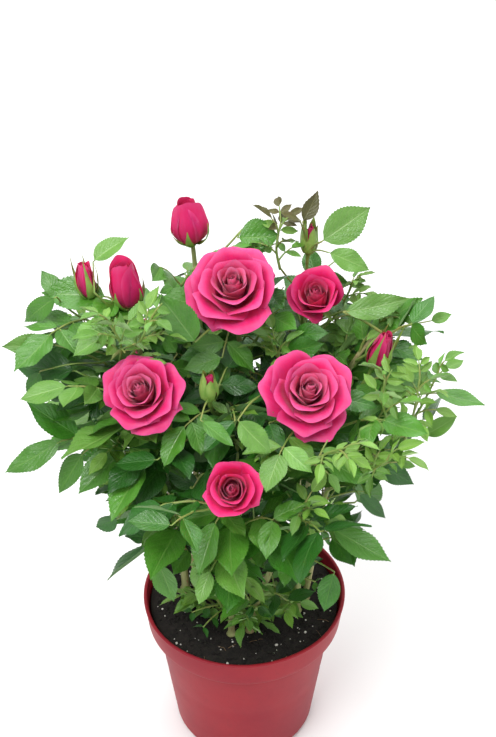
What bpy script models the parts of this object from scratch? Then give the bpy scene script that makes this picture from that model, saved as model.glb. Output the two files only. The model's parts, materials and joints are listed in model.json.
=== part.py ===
"""A pot-grown miniature rose bush, in metres, +Z up, with its origin under the middle of the pot.

Sixteen canes rise from four rooted cuttings in a filled nursery pot. Each cane ends where its mass of
foliage begins. A mass is one stem that forks, with short twigs and compound leaves set round it by a
seeded rule, and each mass keeps to the space that lies nearer to its own stems than to any other mass's.
Roses and coloured buds sit on the stem tips, and the smallest green buds are fused to their stems.
"""

import math
import random
from collections import namedtuple

import bmesh
import bpy
from mathutils import Matrix, Vector
from mathutils.bvhtree import BVHTree
from mathutils.kdtree import KDTree

# Clearance between two solids that meet.
GAP = 0.0003

# The pot: a thin tapered tub with a deeper collar round its mouth.
POT_HEIGHT = 0.106
POT_MOUTH_RADIUS = 0.060
POT_FOOT_RADIUS = 0.0395
POT_WALL = 0.0013
POT_CORNER = 0.006
COLLAR_HEIGHT = 0.018
COLLAR_STEP = 0.0050
LIP_OVERHANG = 0.0010
LIP_HEIGHT = 0.0016
POT_SIDES = 32

# The potting soil, level in the middle and a little sunk along the wall.
SOIL_LEVEL = 0.1000
SOIL_FLAT_RADIUS = 0.046
SOIL_SUNK = 0.0020

# Stems, twigs and leaf stalks.
CANE_RADIUS = 0.0022
CANE_FLARE = 1.45
STALK_RADIUS = 0.0013
FORK_RADIUS = 0.0014
TWIG_RADIUS = 0.0010
LEAF_STALK_RADIUS = 0.0008
CANE_SHARE = 0.34
FORK_SHARE = 0.30
PATH_STEPS = 13
CANE_SIDES = 6
TWIG_SIDES = 3
FOOT_SPACING = 0.0065
FOOT_UPRIGHT = 0.004
FIRST_LEAF = 0.008
FIRST_FORK_LEAF = 0.020
SHORTEST_LEAFY = 0.030

# How a cane curves: the share of its lean and of its rise by its first control point, and how much of
# its rise it spends square under its flower. A fork does the same over its own length.
CANE_LEAN = 0.22
CANE_RISE = 0.42
CANE_SQUARE = 0.24
FORK_PULL = 0.7
FORK_SPREAD = 0.4
FORK_SQUARE = 0.35

# Compound leaves: leaflets in pairs along a stalk, and one at its end.
LEAF_SPACING = 0.0310
LEAF_TURN = 137.5
LEAF_OUTWARDS = 0.6
LEAF_STALK = 0.038
SHORTEST_STALK = 0.014
LEAF_LIFT = (22.0, 48.0)
LEAF_SWING = 28.0
LEAF_SAG = 34.0
LEAF_SAG_RANGE = (0.6, 1.3)
LEAF_ROLL = 22.0
LEAF_SIZE_RANGE = (0.88, 1.12)
AIMED_SIZE_RANGE = (0.86, 1.18)
AIMED_ARCH = 0.30
AIMED_NUDGE = 0.004
PAIR_SHARES = {1: (0.64,), 2: (0.40, 0.76)}
LEAFLET_SPLAY = (56.0, 72.0)
LEAFLET_DROOP = 0.10
SIDE_LEAFLET_SIZE = (0.72, 0.88)
END_LEAFLET_SIZE = (0.98, 1.12)
END_LEAFLET_DROOP = 0.12
LEAFLET_LENGTH = 0.038
LEAFLET_SHAPE = 0.64
LEAFLET_THICKNESS = 0.0006
LEAFLET_BROADEST = 0.44
LEAFLET_TIP_RADIUS = 0.0001
LEAFLET_SUNK = 0.0002
LEAFLET_CLEARANCE = 0.0006
HEAD_CLEARANCE = 0.0012
STALK_HEAD_CLEARANCE = 0.001
LEAF_TRIES = 6

# Short leafy twigs in the leaves' axils.
TWIG_EVERY = 3
TWIG_LENGTH = 0.036
TWIG_LENGTH_RANGE = (0.75, 1.2)
TWIG_LIFT = (38.0, 56.0)
TWIG_SWING = 30.0
TWIG_UPTURN = 0.35
TWIG_LEAF_SHARE = 0.55

# How far a leaflet may stand over the line midway between its own mass's stems and the next mass's.
SPACE_MARGIN = 0.018
STEM_MARK_SPACING = 0.008

# How far out leaves may stand: pairs of a height above the soil and the reach there.
CROWN_OUTLINE = (
    (0.000, 0.060), (0.030, 0.064), (0.060, 0.084), (0.090, 0.108), (0.115, 0.128),
    (0.160, 0.130), (0.195, 0.118), (0.225, 0.088), (0.245, 0.050), (0.260, 0.0),
)
OUTLINE_LEEWAY = 0.005

NEIGHBOUR_REACH = 0.055
LOWEST_LEAF = 0.006
LEAD_SPAN = 0.058
LEAD_RISE = 0.012
LEAD_MARKS = 12

LEAF_GREEN = (0.10, 0.27, 0.06)
STEM_GREEN = (0.17, 0.31, 0.07)
PETAL_PINK = (0.80, 0.06, 0.24)
POT_RED = (0.42, 0.07, 0.08)
SOIL_BROWN = (0.012, 0.009, 0.007)

# Where each group of canes is rooted: bearing from the front, towards the right, and distance out.
CUTTINGS = {"front": (-6, 0.026), "right": (80, 0.032), "back": (178, 0.026), "left": (-96, 0.030)}

# One shoot: the mass that it belongs to, the bearing, reach and height above the soil of its end,
# what it ends in, how wide that is, and the bearing and tilt from upright that the end faces.
Shoot = namedtuple("Shoot", "mass bearing reach height ending across turned tilt")

OPEN, CUP, BUD, SMALL_BUD, GREEN_BUD, LEAFY = "open", "cup", "bud", "small_bud", "green_bud", "leafy"

SHOOTS = (
    Shoot("middle", -40, 0.008, 0.228, OPEN, 0.052, -4, 42),
    Shoot("middle", -25, 0.040, 0.190, GREEN_BUD, 0.010, 0, 12),
    Shoot("left_rose", -49, 0.068, 0.192, OPEN, 0.045, -18, 48),
    Shoot("left_rose", -60, 0.046, 0.150, LEAFY, 0.0, -60, 35),
    Shoot("right_rose", 36, 0.056, 0.192, OPEN, 0.050, 8, 46),
    Shoot("right_rose", 18, 0.046, 0.150, LEAFY, 0.0, 14, 40),
    Shoot("upper_right", 128, 0.049, 0.200, CUP, 0.032, -12, 32),
    Shoot("upper_right", 145, 0.0615, 0.222, GREEN_BUD, 0.010, 120, 5),
    Shoot("front_rose", -4, 0.080, 0.162, CUP, 0.031, 0, 44),
    Shoot("front_rose", 22, 0.072, 0.130, LEAFY, 0.0, 24, 50),
    Shoot("tall_bud", -145, 0.049, 0.240, BUD, 0.019, -60, 6),
    Shoot("tall_bud", -152, 0.059, 0.188, LEAFY, 0.0, -150, 40),
    Shoot("left_buds", -108, 0.064, 0.214, BUD, 0.019, -90, 6),
    Shoot("left_buds", -104, 0.084, 0.214, SMALL_BUD, 0.011, -90, 8),
    Shoot("left", -84, 0.066, 0.156, LEAFY, 0.0, -84, 55),
    Shoot("left", -72, 0.056, 0.104, LEAFY, 0.0, -72, 60),
    Shoot("upper_far_right", 107, 0.073, 0.179, LEAFY, 0.0, 108, 45),
    Shoot("upper_far_right", 90, 0.071, 0.184, SMALL_BUD, 0.013, 60, 18),
    Shoot("right", 84, 0.068, 0.138, LEAFY, 0.0, 84, 50),
    Shoot("right", 62, 0.062, 0.118, LEAFY, 0.0, 62, 55),
    Shoot("front_right", 44, 0.050, 0.092, LEAFY, 0.0, 44, 55),
    Shoot("front_left", -44, 0.052, 0.098, LEAFY, 0.0, -44, 55),
    Shoot("front_left", -10, 0.052, 0.080, LEAFY, 0.0, -8, 60),
    Shoot("back_rose", 180, 0.078, 0.160, OPEN, 0.046, 180, 46),
    Shoot("back_rose", -166, 0.046, 0.198, GREEN_BUD, 0.010, 180, 8),
    Shoot("back_left", -137, 0.089, 0.149, CUP, 0.034, -140, 42),
    Shoot("back_left", -115, 0.072, 0.104, LEAFY, 0.0, -115, 60),
    Shoot("back_right", 150, 0.086, 0.170, BUD, 0.019, 150, 20),
    Shoot("back_right", 122, 0.074, 0.116, LEAFY, 0.0, 122, 62),
    Shoot("back_low", 168, 0.066, 0.092, LEAFY, 0.0, 168, 68),
)

# Leaves that stand furthest out or show most: the mass, the bearing, reach and height above the soil of
# the leaf's tip, and how many pairs of leaflets it has.
LeadLeaf = namedtuple("LeadLeaf", "mass bearing reach height pairs")

LEAD_LEAVES = (
    LeadLeaf("left", -90, 0.124, 0.178, 1),
    LeadLeaf("left", -80, 0.112, 0.156, 1),
    LeadLeaf("left", -81, 0.132, 0.108, 2),
    LeadLeaf("left", -62, 0.102, 0.126, 1),
    LeadLeaf("left_buds", -101, 0.108, 0.210, 2),
    LeadLeaf("left_buds", -124, 0.088, 0.222, 1),
    LeadLeaf("left_rose", -90, 0.094, 0.183, 1),
    LeadLeaf("left_rose", -45, 0.098, 0.134, 1),
    LeadLeaf("front_left", -46, 0.098, 0.092, 2),
    LeadLeaf("front_left", -30, 0.094, 0.106, 1),
    LeadLeaf("front_left", -14, 0.082, 0.078, 1),
    LeadLeaf("low_left", -34, 0.062, 0.044, 1),
    LeadLeaf("low_front", 24, 0.058, 0.032, 1),
    LeadLeaf("front_rose", 16, 0.102, 0.122, 1),
    LeadLeaf("front_rose", -6, 0.096, 0.128, 1),
    LeadLeaf("front_rose", 12, 0.070, 0.166, 1),
    LeadLeaf("front_right", 48, 0.106, 0.094, 1),
    LeadLeaf("front_right", 34, 0.086, 0.062, 1),
    LeadLeaf("front_right", 57, 0.094, 0.106, 1),
    LeadLeaf("right", 66, 0.100, 0.124, 1),
    LeadLeaf("right", 78, 0.112, 0.124, 2),
    LeadLeaf("right", 80, 0.114, 0.148, 1),
    LeadLeaf("right", 90, 0.132, 0.144, 1),
    LeadLeaf("upper_far_right", 86, 0.104, 0.176, 1),
    LeadLeaf("upper_far_right", 110, 0.118, 0.175, 2),
    LeadLeaf("upper_far_right", 104, 0.090, 0.200, 1),
    LeadLeaf("upper_right", 131, 0.090, 0.230, 2),
    LeadLeaf("upper_right", 147, 0.072, 0.238, 1),
    LeadLeaf("upper_right", 112, 0.072, 0.214, 1),
    LeadLeaf("middle", -90, 0.040, 0.212, 1),
    LeadLeaf("middle", -12, 0.064, 0.164, 1),
    LeadLeaf("tall_bud", 166, 0.040, 0.232, 1),
    LeadLeaf("tall_bud", -128, 0.052, 0.210, 1),
)

# The cutting that carries the cane of each mass.
ROOTED = {
    "front": ("front_rose", "front_left", "front_right"),
    "right": ("right_rose", "upper_far_right", "right"),
    "back": ("upper_right", "back_right", "back_low", "back_rose", "middle"),
    "left": ("left_rose", "left", "left_buds", "back_left", "tall_bud"),
}

# Short leafy sprays low on a cane: name, the mass whose cane carries it, how far up that cane, and the
# bearing, reach and height above the soil of its end.
LowSpray = namedtuple("LowSpray", "name carrier share bearing reach height")

LOW_SPRAYS = (
    LowSpray("low_left", "front_left", 0.45, -38, 0.036, 0.038),
    LowSpray("low_front", "front_rose", 0.35, 4, 0.034, 0.034),
    LowSpray("low_right", "front_right", 0.45, 50, 0.036, 0.040),
    LowSpray("low_back_right", "upper_right", 0.50, 112, 0.040, 0.044),
    LowSpray("low_back_left", "back_left", 0.50, -136, 0.040, 0.044),
)

# Nested rings of petals in a rose: how many petals, and the rim's radius and height as shares of the width.
ROSE_RINGS = {
    OPEN: ((5, 0.50, 0.26), (3, 0.35, 0.44)),
    CUP: ((4, 0.48, 0.50), (3, 0.33, 0.68)),
}
ROSE_HEART = {OPEN: (0.20, 0.46), CUP: (0.22, 0.66)}
ROSE_BASE_BELOW_HEART = {OPEN: 0.30, CUP: 0.42, BUD: 0.75, SMALL_BUD: 0.80, GREEN_BUD: 0.85, LEAFY: 0.0}
BARE_BELOW = {LEAFY: 0.0, OPEN: 0.024, CUP: 0.020, BUD: 0.030, SMALL_BUD: 0.014, GREEN_BUD: 0.014}
ROSE_NAMES = {OPEN: "rose", CUP: "half_open_rose", BUD: "opening_bud", SMALL_BUD: "bud"}
PETAL_THICKNESS = 0.0008
PETAL_FOOT = 0.0012
HEAD_WIDENS = 1.6
HIP_RADIUS = 0.0034
STUB_LENGTH = 0.0040
HEART_SUNK = 0.0012
GREEN_BUD_SUNK = 0.001
BUD_HEIGHT = 1.5
GREEN_BUD_HEIGHT = 1.9
SPRAY_SQUARE = 0.003
SPRAY_LEAF_SIZE = 0.62
SPRAY_TILT = 60
STALK_SUNK = 0.002

# The nearest that points are welded where a tube's caps meet its sides.
WELD = 0.00002

Blade = namedtuple("Blade", "share root along normal length width")
Leaf = namedtuple("Leaf", "stalk blades")
Site = namedtuple("Site", "label root stem_way out_way size pairs target")
Stem = namedtuple("Stem", "points radii")


# ---------------------------------------------------------------- scene and materials


def clear_scene():
    for obj in list(bpy.data.objects):
        bpy.data.objects.remove(obj)


def new_collection(name):
    collection = bpy.data.collections.new(name)
    bpy.context.scene.collection.children.link(collection)
    return collection


def material(name, colour, roughness):
    made = bpy.data.materials.new(name)
    made.use_nodes = True
    shader = made.node_tree.nodes["Principled BSDF"]
    shader.inputs["Base Color"].default_value = (*colour, 1.0)
    shader.inputs["Roughness"].default_value = roughness
    shader.inputs["Metallic"].default_value = 0.0
    return made


def add_object(name, mesh, collection, finish=None):
    obj = bpy.data.objects.new(name, mesh)
    collection.objects.link(obj)
    if finish is not None and not mesh.materials:
        mesh.materials.append(finish)
    return obj


def evaluated_mesh(obj, weld=None):
    """The object's mesh with its modifiers applied, and its loose caps welded if a distance is given."""
    graph = bpy.context.evaluated_depsgraph_get()
    mesh = bpy.data.meshes.new_from_object(obj.evaluated_get(graph))
    if weld is not None:
        bm = bmesh.new()
        bm.from_mesh(mesh)
        bmesh.ops.remove_doubles(bm, verts=bm.verts, dist=weld)
        bmesh.ops.recalc_face_normals(bm, faces=bm.faces)
        bm.to_mesh(mesh)
        bm.free()
    return mesh


# ---------------------------------------------------------------- directions and paths


def flat_direction(bearing):
    """The level unit vector at a bearing: 0 is the front, -Y, and 90 is the right, +X."""
    angle = math.radians(bearing)
    return Vector((math.sin(angle), -math.cos(angle), 0.0))


def facing(bearing, tilt):
    """The unit vector tipped from upright by tilt, towards a bearing."""
    angle = math.radians(tilt)
    return flat_direction(bearing) * math.sin(angle) + Vector((0, 0, math.cos(angle)))


def place(bearing, reach, height):
    return flat_direction(bearing) * reach + Vector((0, 0, SOIL_LEVEL + height))


def square_to(vector, axis):
    """The part of vector that is square to axis, at unit length."""
    return (vector - axis * vector.dot(axis)).normalized()


def bezier(p0, p1, p2, p3, steps):
    path = []
    for i in range(steps + 1):
        t = i / steps
        s = 1 - t
        path.append(p0 * s**3 + p1 * (3 * s * s * t) + p2 * (3 * s * t * t) + p3 * t**3)
    return path


def point_on(path, distance):
    """The point and direction at a distance along a path."""
    for a, b in zip(path, path[1:]):
        step = (b - a).length
        if distance <= step:
            return a.lerp(b, distance / step), (b - a).normalized()
        distance -= step
    return path[-1].copy(), (path[-1] - path[-2]).normalized()


def cut_path(path, distance):
    """The part of a path that lies within a distance of its start."""
    kept = [path[0]]
    for a, b in zip(path, path[1:]):
        step = (b - a).length
        if distance <= step * 1.0001:
            return kept + [a.lerp(b, min(1.0, distance / step))]
        kept.append(b)
        distance -= step
    return kept


def path_length(path):
    return sum((b - a).length for a, b in zip(path, path[1:]))


def bloom_base(shoot):
    """Where a shoot's stem ends, under its flower."""
    down = facing(shoot.turned, shoot.tilt) * shoot.across * ROSE_BASE_BELOW_HEART[shoot.ending]
    return place(shoot.bearing, shoot.reach, shoot.height) - down


def leader_path(foot, shoot):
    """A cane and its stem as one curve: upright at the root, and square under the flower."""
    tip = bloom_base(shoot)
    rise = tip.z - foot.z
    out = Vector((tip.x - foot.x, tip.y - foot.y, 0.0))
    low = foot + out * CANE_LEAN + Vector((0, 0, CANE_RISE * rise))
    high = tip - facing(shoot.turned, shoot.tilt) * (CANE_SQUARE * rise)
    upright = foot + Vector((0, 0, FOOT_UPRIGHT))
    return [foot] + bezier(upright, low, high, tip, PATH_STEPS - 1)


def side_path(start, direction, shoot):
    """A fork of the stem, from a point on the leader to the shoot's end."""
    tip = bloom_base(shoot)
    span = (tip - start).length
    low = start + (tip - start).normalized().lerp(direction, FORK_PULL) * span * FORK_SPREAD
    high = tip - facing(shoot.turned, shoot.tilt) * (FORK_SQUARE * span)
    return bezier(start, low, high, tip, PATH_STEPS // 2)


def cane_feet():
    """The root of each mass's cane: spaced round its cutting in the order of the ways they lean."""
    feet = {}
    for cutting, masses in ROOTED.items():
        centre = flat_direction(CUTTINGS[cutting][0]) * CUTTINGS[cutting][1]

        def way(mass):
            leader = next(s for s in SHOOTS if s.mass == mass)
            off = place(leader.bearing, leader.reach, 0) - centre
            return math.degrees(math.atan2(off.x, -off.y)) % 360

        ordered = sorted(masses, key=way)
        first = way(ordered[0])
        for i, mass in enumerate(ordered):
            foot = centre + flat_direction(first + i * 360 / len(ordered)) * FOOT_SPACING
            feet[mass] = Vector((foot.x, foot.y, SOIL_LEVEL + GAP))
    return feet


# ---------------------------------------------------------------- the growth rule


def taper(path, thick, thin):
    last = len(path) - 1
    return [thick + (thin - thick) * i / last for i in range(last + 1)]


def compound_leaf(root, way, stalk_length, size, pairs, rng):
    """One leaf from its root: a stalk that arches over, with pairs of leaflets and one at its end."""
    level = square_to(Vector((0, 0, 1)), way)
    across = way.cross(level)
    sag = math.radians(LEAF_SAG * rng.uniform(*LEAF_SAG_RANGE)) / 2
    stalk = [root]
    for _ in range(2):
        stalk.append(stalk[-1] + way * (stalk_length / 2))
        way = Matrix.Rotation(-sag, 3, across) @ way
    roll = math.radians(rng.uniform(-LEAF_ROLL, LEAF_ROLL))
    blades = []
    for share in PAIR_SHARES[pairs]:
        at, along = point_on(stalk, stalk_length * share)
        normal = Matrix.Rotation(roll, 3, along) @ square_to(Vector((0, 0, 1)), along)
        for side in (-1, 1):
            turn = math.radians(side * rng.uniform(*LEAFLET_SPLAY))
            blade_way = (Matrix.Rotation(turn, 3, normal) @ along - normal * LEAFLET_DROOP).normalized()
            grown = LEAFLET_LENGTH * size * rng.uniform(*SIDE_LEAFLET_SIZE)
            facing_up = square_to(normal, blade_way)
            blades.append(Blade(share, at, blade_way, facing_up, grown, grown * LEAFLET_SHAPE))
    along = (way - Vector((0, 0, END_LEAFLET_DROOP))).normalized()
    normal = Matrix.Rotation(roll, 3, along) @ square_to(Vector((0, 0, 1)), along)
    grown = LEAFLET_LENGTH * size * rng.uniform(*END_LEAFLET_SIZE)
    blades.append(Blade(1.0, stalk[-1], along, normal, grown, grown * LEAFLET_SHAPE))
    return Leaf(stalk, blades)


def leaf_tip(leaf):
    last = leaf.blades[-1]
    return last.root + last.along * last.length


def turned_leaf(leaf, turn):
    """The leaf turned about its root."""
    root = leaf.stalk[0]
    stalk = [root + turn @ (p - root) for p in leaf.stalk]
    blades = [
        blade._replace(
            root=root + turn @ (blade.root - root), along=turn @ blade.along, normal=turn @ blade.normal
        )
        for blade in leaf.blades
    ]
    return Leaf(stalk, blades)


def aimed_leaf(root, tip, pairs, rng):
    """A leaf whose end comes to rest on tip."""
    reach = tip - root
    smallest, largest = AIMED_SIZE_RANGE
    size = min(largest, max(smallest, reach.length / (LEAF_STALK + LEAFLET_LENGTH)))
    stalk_length = max(SHORTEST_STALK, reach.length - LEAFLET_LENGTH * size)
    way = (reach.normalized() + Vector((0, 0, AIMED_ARCH))).normalized()
    leaf = compound_leaf(root, way, stalk_length, size, pairs, rng)
    turn = (leaf_tip(leaf) - root).rotation_difference(reach).to_matrix()
    return turned_leaf(leaf, turn)


def leaf_at(site, attempt):
    """The leaf that a site grows: later attempts swing it further round its stem."""
    rng = random.Random(f"{site.label}/{attempt}")
    if site.target is not None:
        nudge = Vector([rng.uniform(-AIMED_NUDGE, AIMED_NUDGE) * attempt for _ in range(3)])
        return aimed_leaf(site.root, site.target + nudge, site.pairs, rng)
    swing = math.radians(rng.uniform(-LEAF_SWING, LEAF_SWING) * attempt)
    out_way = Matrix.Rotation(swing, 3, site.stem_way) @ site.out_way
    lift = math.radians(rng.uniform(*LEAF_LIFT))
    way = (out_way * math.cos(lift) + site.stem_way * math.sin(lift)).normalized()
    size = site.size * rng.uniform(*LEAF_SIZE_RANGE)
    stalk_length = LEAF_STALK * size * rng.uniform(*LEAF_SIZE_RANGE) * (0.60 + 0.20 * site.pairs)
    return compound_leaf(site.root, way, stalk_length, size, site.pairs, rng)


def sites_along(label, path, start, end, leafy, scale=1.0):
    """Where a stem's leaves grow: they spiral up it, smaller and simpler towards a flower."""
    sites = []
    first_turn = random.Random(label).uniform(0, 360)
    end = min(end, path_length(path) - STALK_SUNK)
    count = max(1, int((end - start) / (LEAF_SPACING * scale)) + 1)
    for k in range(count):
        share = k / max(1, count - 1)
        at, stem_way = point_on(path, start + (end - start) * share)
        side = square_to(Vector((0.3, 1, 0.1)), stem_way)
        out_way = Matrix.Rotation(math.radians(first_turn + LEAF_TURN * k), 3, stem_way) @ side
        outward = Vector((at.x, at.y, 0.0))
        outward = outward.normalized() if outward.length > 0.004 else flat_direction(first_turn)
        out_way = square_to(out_way + outward * LEAF_OUTWARDS, stem_way)
        pairs, size = 2, 1.05 - 0.22 * share
        if not leafy and share > 0.7:
            pairs, size = 1, size * 0.85
        if leafy and k == count - 1:
            out_way, size = (stem_way * 0.7 + outward * 0.5).normalized(), 1.0
        sites.append(Site(f"{label}/{k}", at, stem_way, out_way, size * scale, pairs, None))
    return sites


def twigs_along(label, path, sites, room, mass):
    """Short leafy twigs from every third leaf's axil, where nothing is in their way."""
    stems, extra = [], []
    for k, site in enumerate(sites[1:-1:TWIG_EVERY]):
        name = f"{label}/twig/{k}"
        rng = random.Random(name)
        lift = math.radians(rng.uniform(*TWIG_LIFT))
        swing = math.radians(rng.uniform(-TWIG_SWING, TWIG_SWING))
        away = Matrix.Rotation(swing, 3, site.stem_way) @ site.out_way
        way = (away * math.cos(lift) + site.stem_way * math.sin(lift)).normalized()
        length = TWIG_LENGTH * rng.uniform(*TWIG_LENGTH_RANGE)
        bend = (way + Vector((0, 0, TWIG_UPTURN))).normalized()
        elbow = site.root + way * length * 0.5
        twig = [site.root, elbow, elbow + bend * length * 0.5]
        if not room.stem_is_free(mass, twig, TWIG_RADIUS):
            continue
        stems.append(Stem(twig, taper(twig, TWIG_RADIUS, TWIG_RADIUS * 0.8)))
        middle, middle_way = point_on(twig, length * TWIG_LEAF_SHARE)
        side = square_to(away, middle_way)
        side = Matrix.Rotation(math.radians(rng.uniform(0, 360)), 3, middle_way) @ side
        extra.append(Site(f"{name}/side", middle, middle_way, side, 0.82, 1, None))
        end = twig[-1] - bend * STALK_SUNK
        extra.append(Site(f"{name}/end", end, bend, (bend + away).normalized(), 0.92, 2, None))
    return stems, extra


def marks_along(path, count):
    """Evenly spaced points up a stem, the last well inside its end."""
    length = path_length(path) - STALK_SUNK
    return [point_on(path, length * n / count)[0] for n in range(1, count + 1)]


def lead_sites(mass, stems):
    """The sites of a mass's lead leaves, each on the stem nearest to where its stalk would begin."""
    sites = []
    for i, lead in enumerate(each for each in LEAD_LEAVES if each.mass == mass):
        tip = place(lead.bearing, lead.reach, lead.height)
        ideal = tip - flat_direction(lead.bearing) * LEAD_SPAN - Vector((0, 0, LEAD_RISE))
        choices = [point for stem in stems for point in marks_along(stem.points, LEAD_MARKS)]
        root = min(choices, key=lambda point: (point - ideal).length)
        sites.append(Site(f"{mass}/lead/{i}", root, None, None, 1.0, lead.pairs, tip))
    return sites


def tube_faces(points, radius):
    """The corners and faces of a plain three-sided tube, to test what a stem would touch."""
    corners, faces = [], []
    for i, point in enumerate(points):
        way = (points[min(i + 1, len(points) - 1)] - points[max(i - 1, 0)]).normalized()
        side = square_to(Vector((0.4, 0.3, 0.2)), way)
        for turn in (0, 120, 240):
            corners.append(point + Matrix.Rotation(math.radians(turn), 3, way) @ side * radius)
    for i in range(len(points) - 1):
        for j in range(3):
            k = (j + 1) % 3
            faces.append((3 * i + j, 3 * i + k, 3 * i + 3 + k, 3 * i + 3 + j))
    return corners, faces


def crown_reach(height):
    """How far from the pot's axis leaves may stand at a height above the soil."""
    for (low, near), (high, far) in zip(CROWN_OUTLINE, CROWN_OUTLINE[1:]):
        if height <= high:
            return near + (far - near) * max(0.0, height - low) / (high - low)
    return 0.0


class Room:
    """What is taken: every stem and flower, and the leaves set so far."""

    def __init__(self, heads, blade):
        self.heads = heads
        self.blade = blade
        self.faces = [tuple(p.vertices) for p in blade.polygons]
        self.stems = []
        self.leaves = []
        self.labels = []
        self.nearest = None

    def add_stem(self, mass, points, radius):
        self.stems.append((mass, BVHTree.FromPolygons(*tube_faces(points, radius)), points))

    def share_out(self):
        """Makes the map of which mass's stems each point lies nearest to."""
        marks = []
        for mass, _, points in self.stems:
            if mass == "flower stalk":
                continue
            length = path_length(points)
            steps = max(1, int(length / STEM_MARK_SPACING))
            marks += [(mass, point_on(points, length * i / steps)[0]) for i in range(steps + 1)]
        self.nearest = KDTree(len(marks))
        for i, (mass, point) in enumerate(marks):
            self.nearest.insert(point, i)
        self.labels = [mass for mass, _ in marks]
        self.nearest.balance()

    def owns(self, mass, point, leeway):
        """Whether a point is in the crown, and no further over to another mass's stems than the margin."""
        if math.hypot(point.x, point.y) > crown_reach(point.z - SOIL_LEVEL) + leeway:
            return False
        near = self.nearest.find_range(point, self.nearest.find(point)[2] + SPACE_MARGIN)
        return any(self.labels[index] == mass for _, index, _ in near)

    def clear_of_heads(self, point, clearance):
        """Whether a point keeps clear of every flower, each taken as a cone from its hip to its rim."""
        for base, axis, length, hip, rim in self.heads:
            along = min(length, max(0.0, (point - base).dot(axis)))
            radius = hip + (rim - hip) * min(1.0, HEAD_WIDENS * along / length)
            if (point - base - axis * along).length < radius + clearance:
                return False
        return True

    def stem_is_free(self, mass, points, radius):
        tree = BVHTree.FromPolygons(*tube_faces(points, radius + GAP * 2))
        if any(owner != mass and tree.overlap(other) for owner, other, _ in self.stems):
            return False
        return all(self.clear_of_heads(p, radius * 2) for p in points)

    def corners(self, blade, clearance):
        """The corners of a leaflet, thickened by a clearance on both faces and round its edge."""
        matrix = blade_matrix(blade)
        centre = matrix @ Vector((LEAFLET_BROADEST, 0, 0))
        grown = []
        for vert in self.blade.vertices:
            point = matrix @ vert.co
            push = blade.normal if vert.co.z > 0 else -blade.normal
            is_face_point = abs(vert.co.y) < 0.1 and 0.1 < vert.co.x < 0.9
            grown.append(point + (push if is_face_point else (point - centre).normalized()) * clearance)
        return grown

    def leaflet_tree(self, blade, clearance):
        return BVHTree.FromPolygons(self.corners(blade, clearance), self.faces)

    def near_leaves(self, centre):
        return [tree for middle, tree in self.leaves if (middle - centre).length < NEIGHBOUR_REACH]

    def blade_is_free(self, mass, blade, leeway):
        centre = blade.root + blade.along * blade.length * 0.5
        corners = self.corners(blade, LEAFLET_CLEARANCE)
        samples = corners + [centre, blade.root + blade.along * blade.length * 0.75]
        if min(p.z for p in corners) < SOIL_LEVEL + LOWEST_LEAF:
            return False
        if not all(self.clear_of_heads(p, HEAD_CLEARANCE) for p in samples):
            return False
        if not all(self.owns(mass, p, leeway) for p in corners):
            return False
        tree = BVHTree.FromPolygons(corners, self.faces)
        if any(tree.overlap(other) for _, other, _ in self.stems):
            return False
        return not any(tree.overlap(other) for other in self.near_leaves(centre))

    def fitted(self, mass, leaf, leeway):
        """The leaf with only the leaflets that are free, or None where its stalk itself is in the way."""
        stalk = BVHTree.FromPolygons(*tube_faces(leaf.stalk, LEAF_STALK_RADIUS + GAP * 2))
        if any(owner != mass and stalk.overlap(other) for owner, other, _ in self.stems):
            return None
        if not all(self.clear_of_heads(p, STALK_HEAD_CLEARANCE) for p in leaf.stalk[1:]):
            return None
        middle = (leaf.stalk[0] + leaf.stalk[-1]) / 2
        if any(stalk.overlap(other) for other in self.near_leaves(middle)):
            return None
        free = [blade for blade in leaf.blades if self.blade_is_free(mass, blade, leeway)]
        return Leaf(leaf.stalk, free) if free else None

    def settle(self, mass, site):
        """Sets the best of a few attempts at a site's leaf, and remembers it."""
        best = None
        for attempt in range(LEAF_TRIES):
            grown = leaf_at(site, attempt)
            leaf = self.fitted(mass, grown, OUTLINE_LEEWAY if site.target is not None else 0.0)
            if leaf is not None and (best is None or len(leaf.blades) > len(best.blades)):
                best = leaf
            if best is not None and len(best.blades) == len(grown.blades):
                break
        if best is None or (len(best.blades) < 2 and site.target is None):
            return None
        stalk = cut_path(best.stalk, path_length(best.stalk) * max(b.share for b in best.blades))
        best = Leaf(stalk, best.blades)
        middle = (stalk[0] + stalk[-1]) / 2
        self.leaves.append((middle, BVHTree.FromPolygons(*tube_faces(stalk, LEAF_STALK_RADIUS))))
        for blade in best.blades:
            centre = blade.root + blade.along * blade.length * 0.5
            self.leaves.append((centre, self.leaflet_tree(blade, 0.0)))
        return best


# ---------------------------------------------------------------- pot and soil


def turned(name, profile, collection, finish):
    """A solid of revolution: the profile runs from the axis, down its outer side, and back to the axis."""
    mesh = bpy.data.meshes.new(name)
    edges = [(i, i + 1) for i in range(len(profile) - 1)]
    mesh.from_pydata([(radius, 0.0, height) for radius, height in profile], edges, [])
    obj = add_object(name, mesh, collection, finish)
    screw = obj.modifiers.new("turn", "SCREW")
    screw.steps = screw.render_steps = POT_SIDES
    screw.use_merge_vertices = True
    screw.merge_threshold = 0.00001
    screw.use_smooth_shade = True
    return obj


def wall_radius(height):
    """The outer radius of the tapered body under the collar."""
    collar_foot = POT_HEIGHT - COLLAR_HEIGHT
    share = (height - POT_CORNER) / (collar_foot - POT_CORNER)
    body_foot = POT_FOOT_RADIUS + POT_CORNER * 0.7
    return body_foot + (POT_MOUTH_RADIUS - COLLAR_STEP - 0.0016 - body_foot) * share


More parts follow.
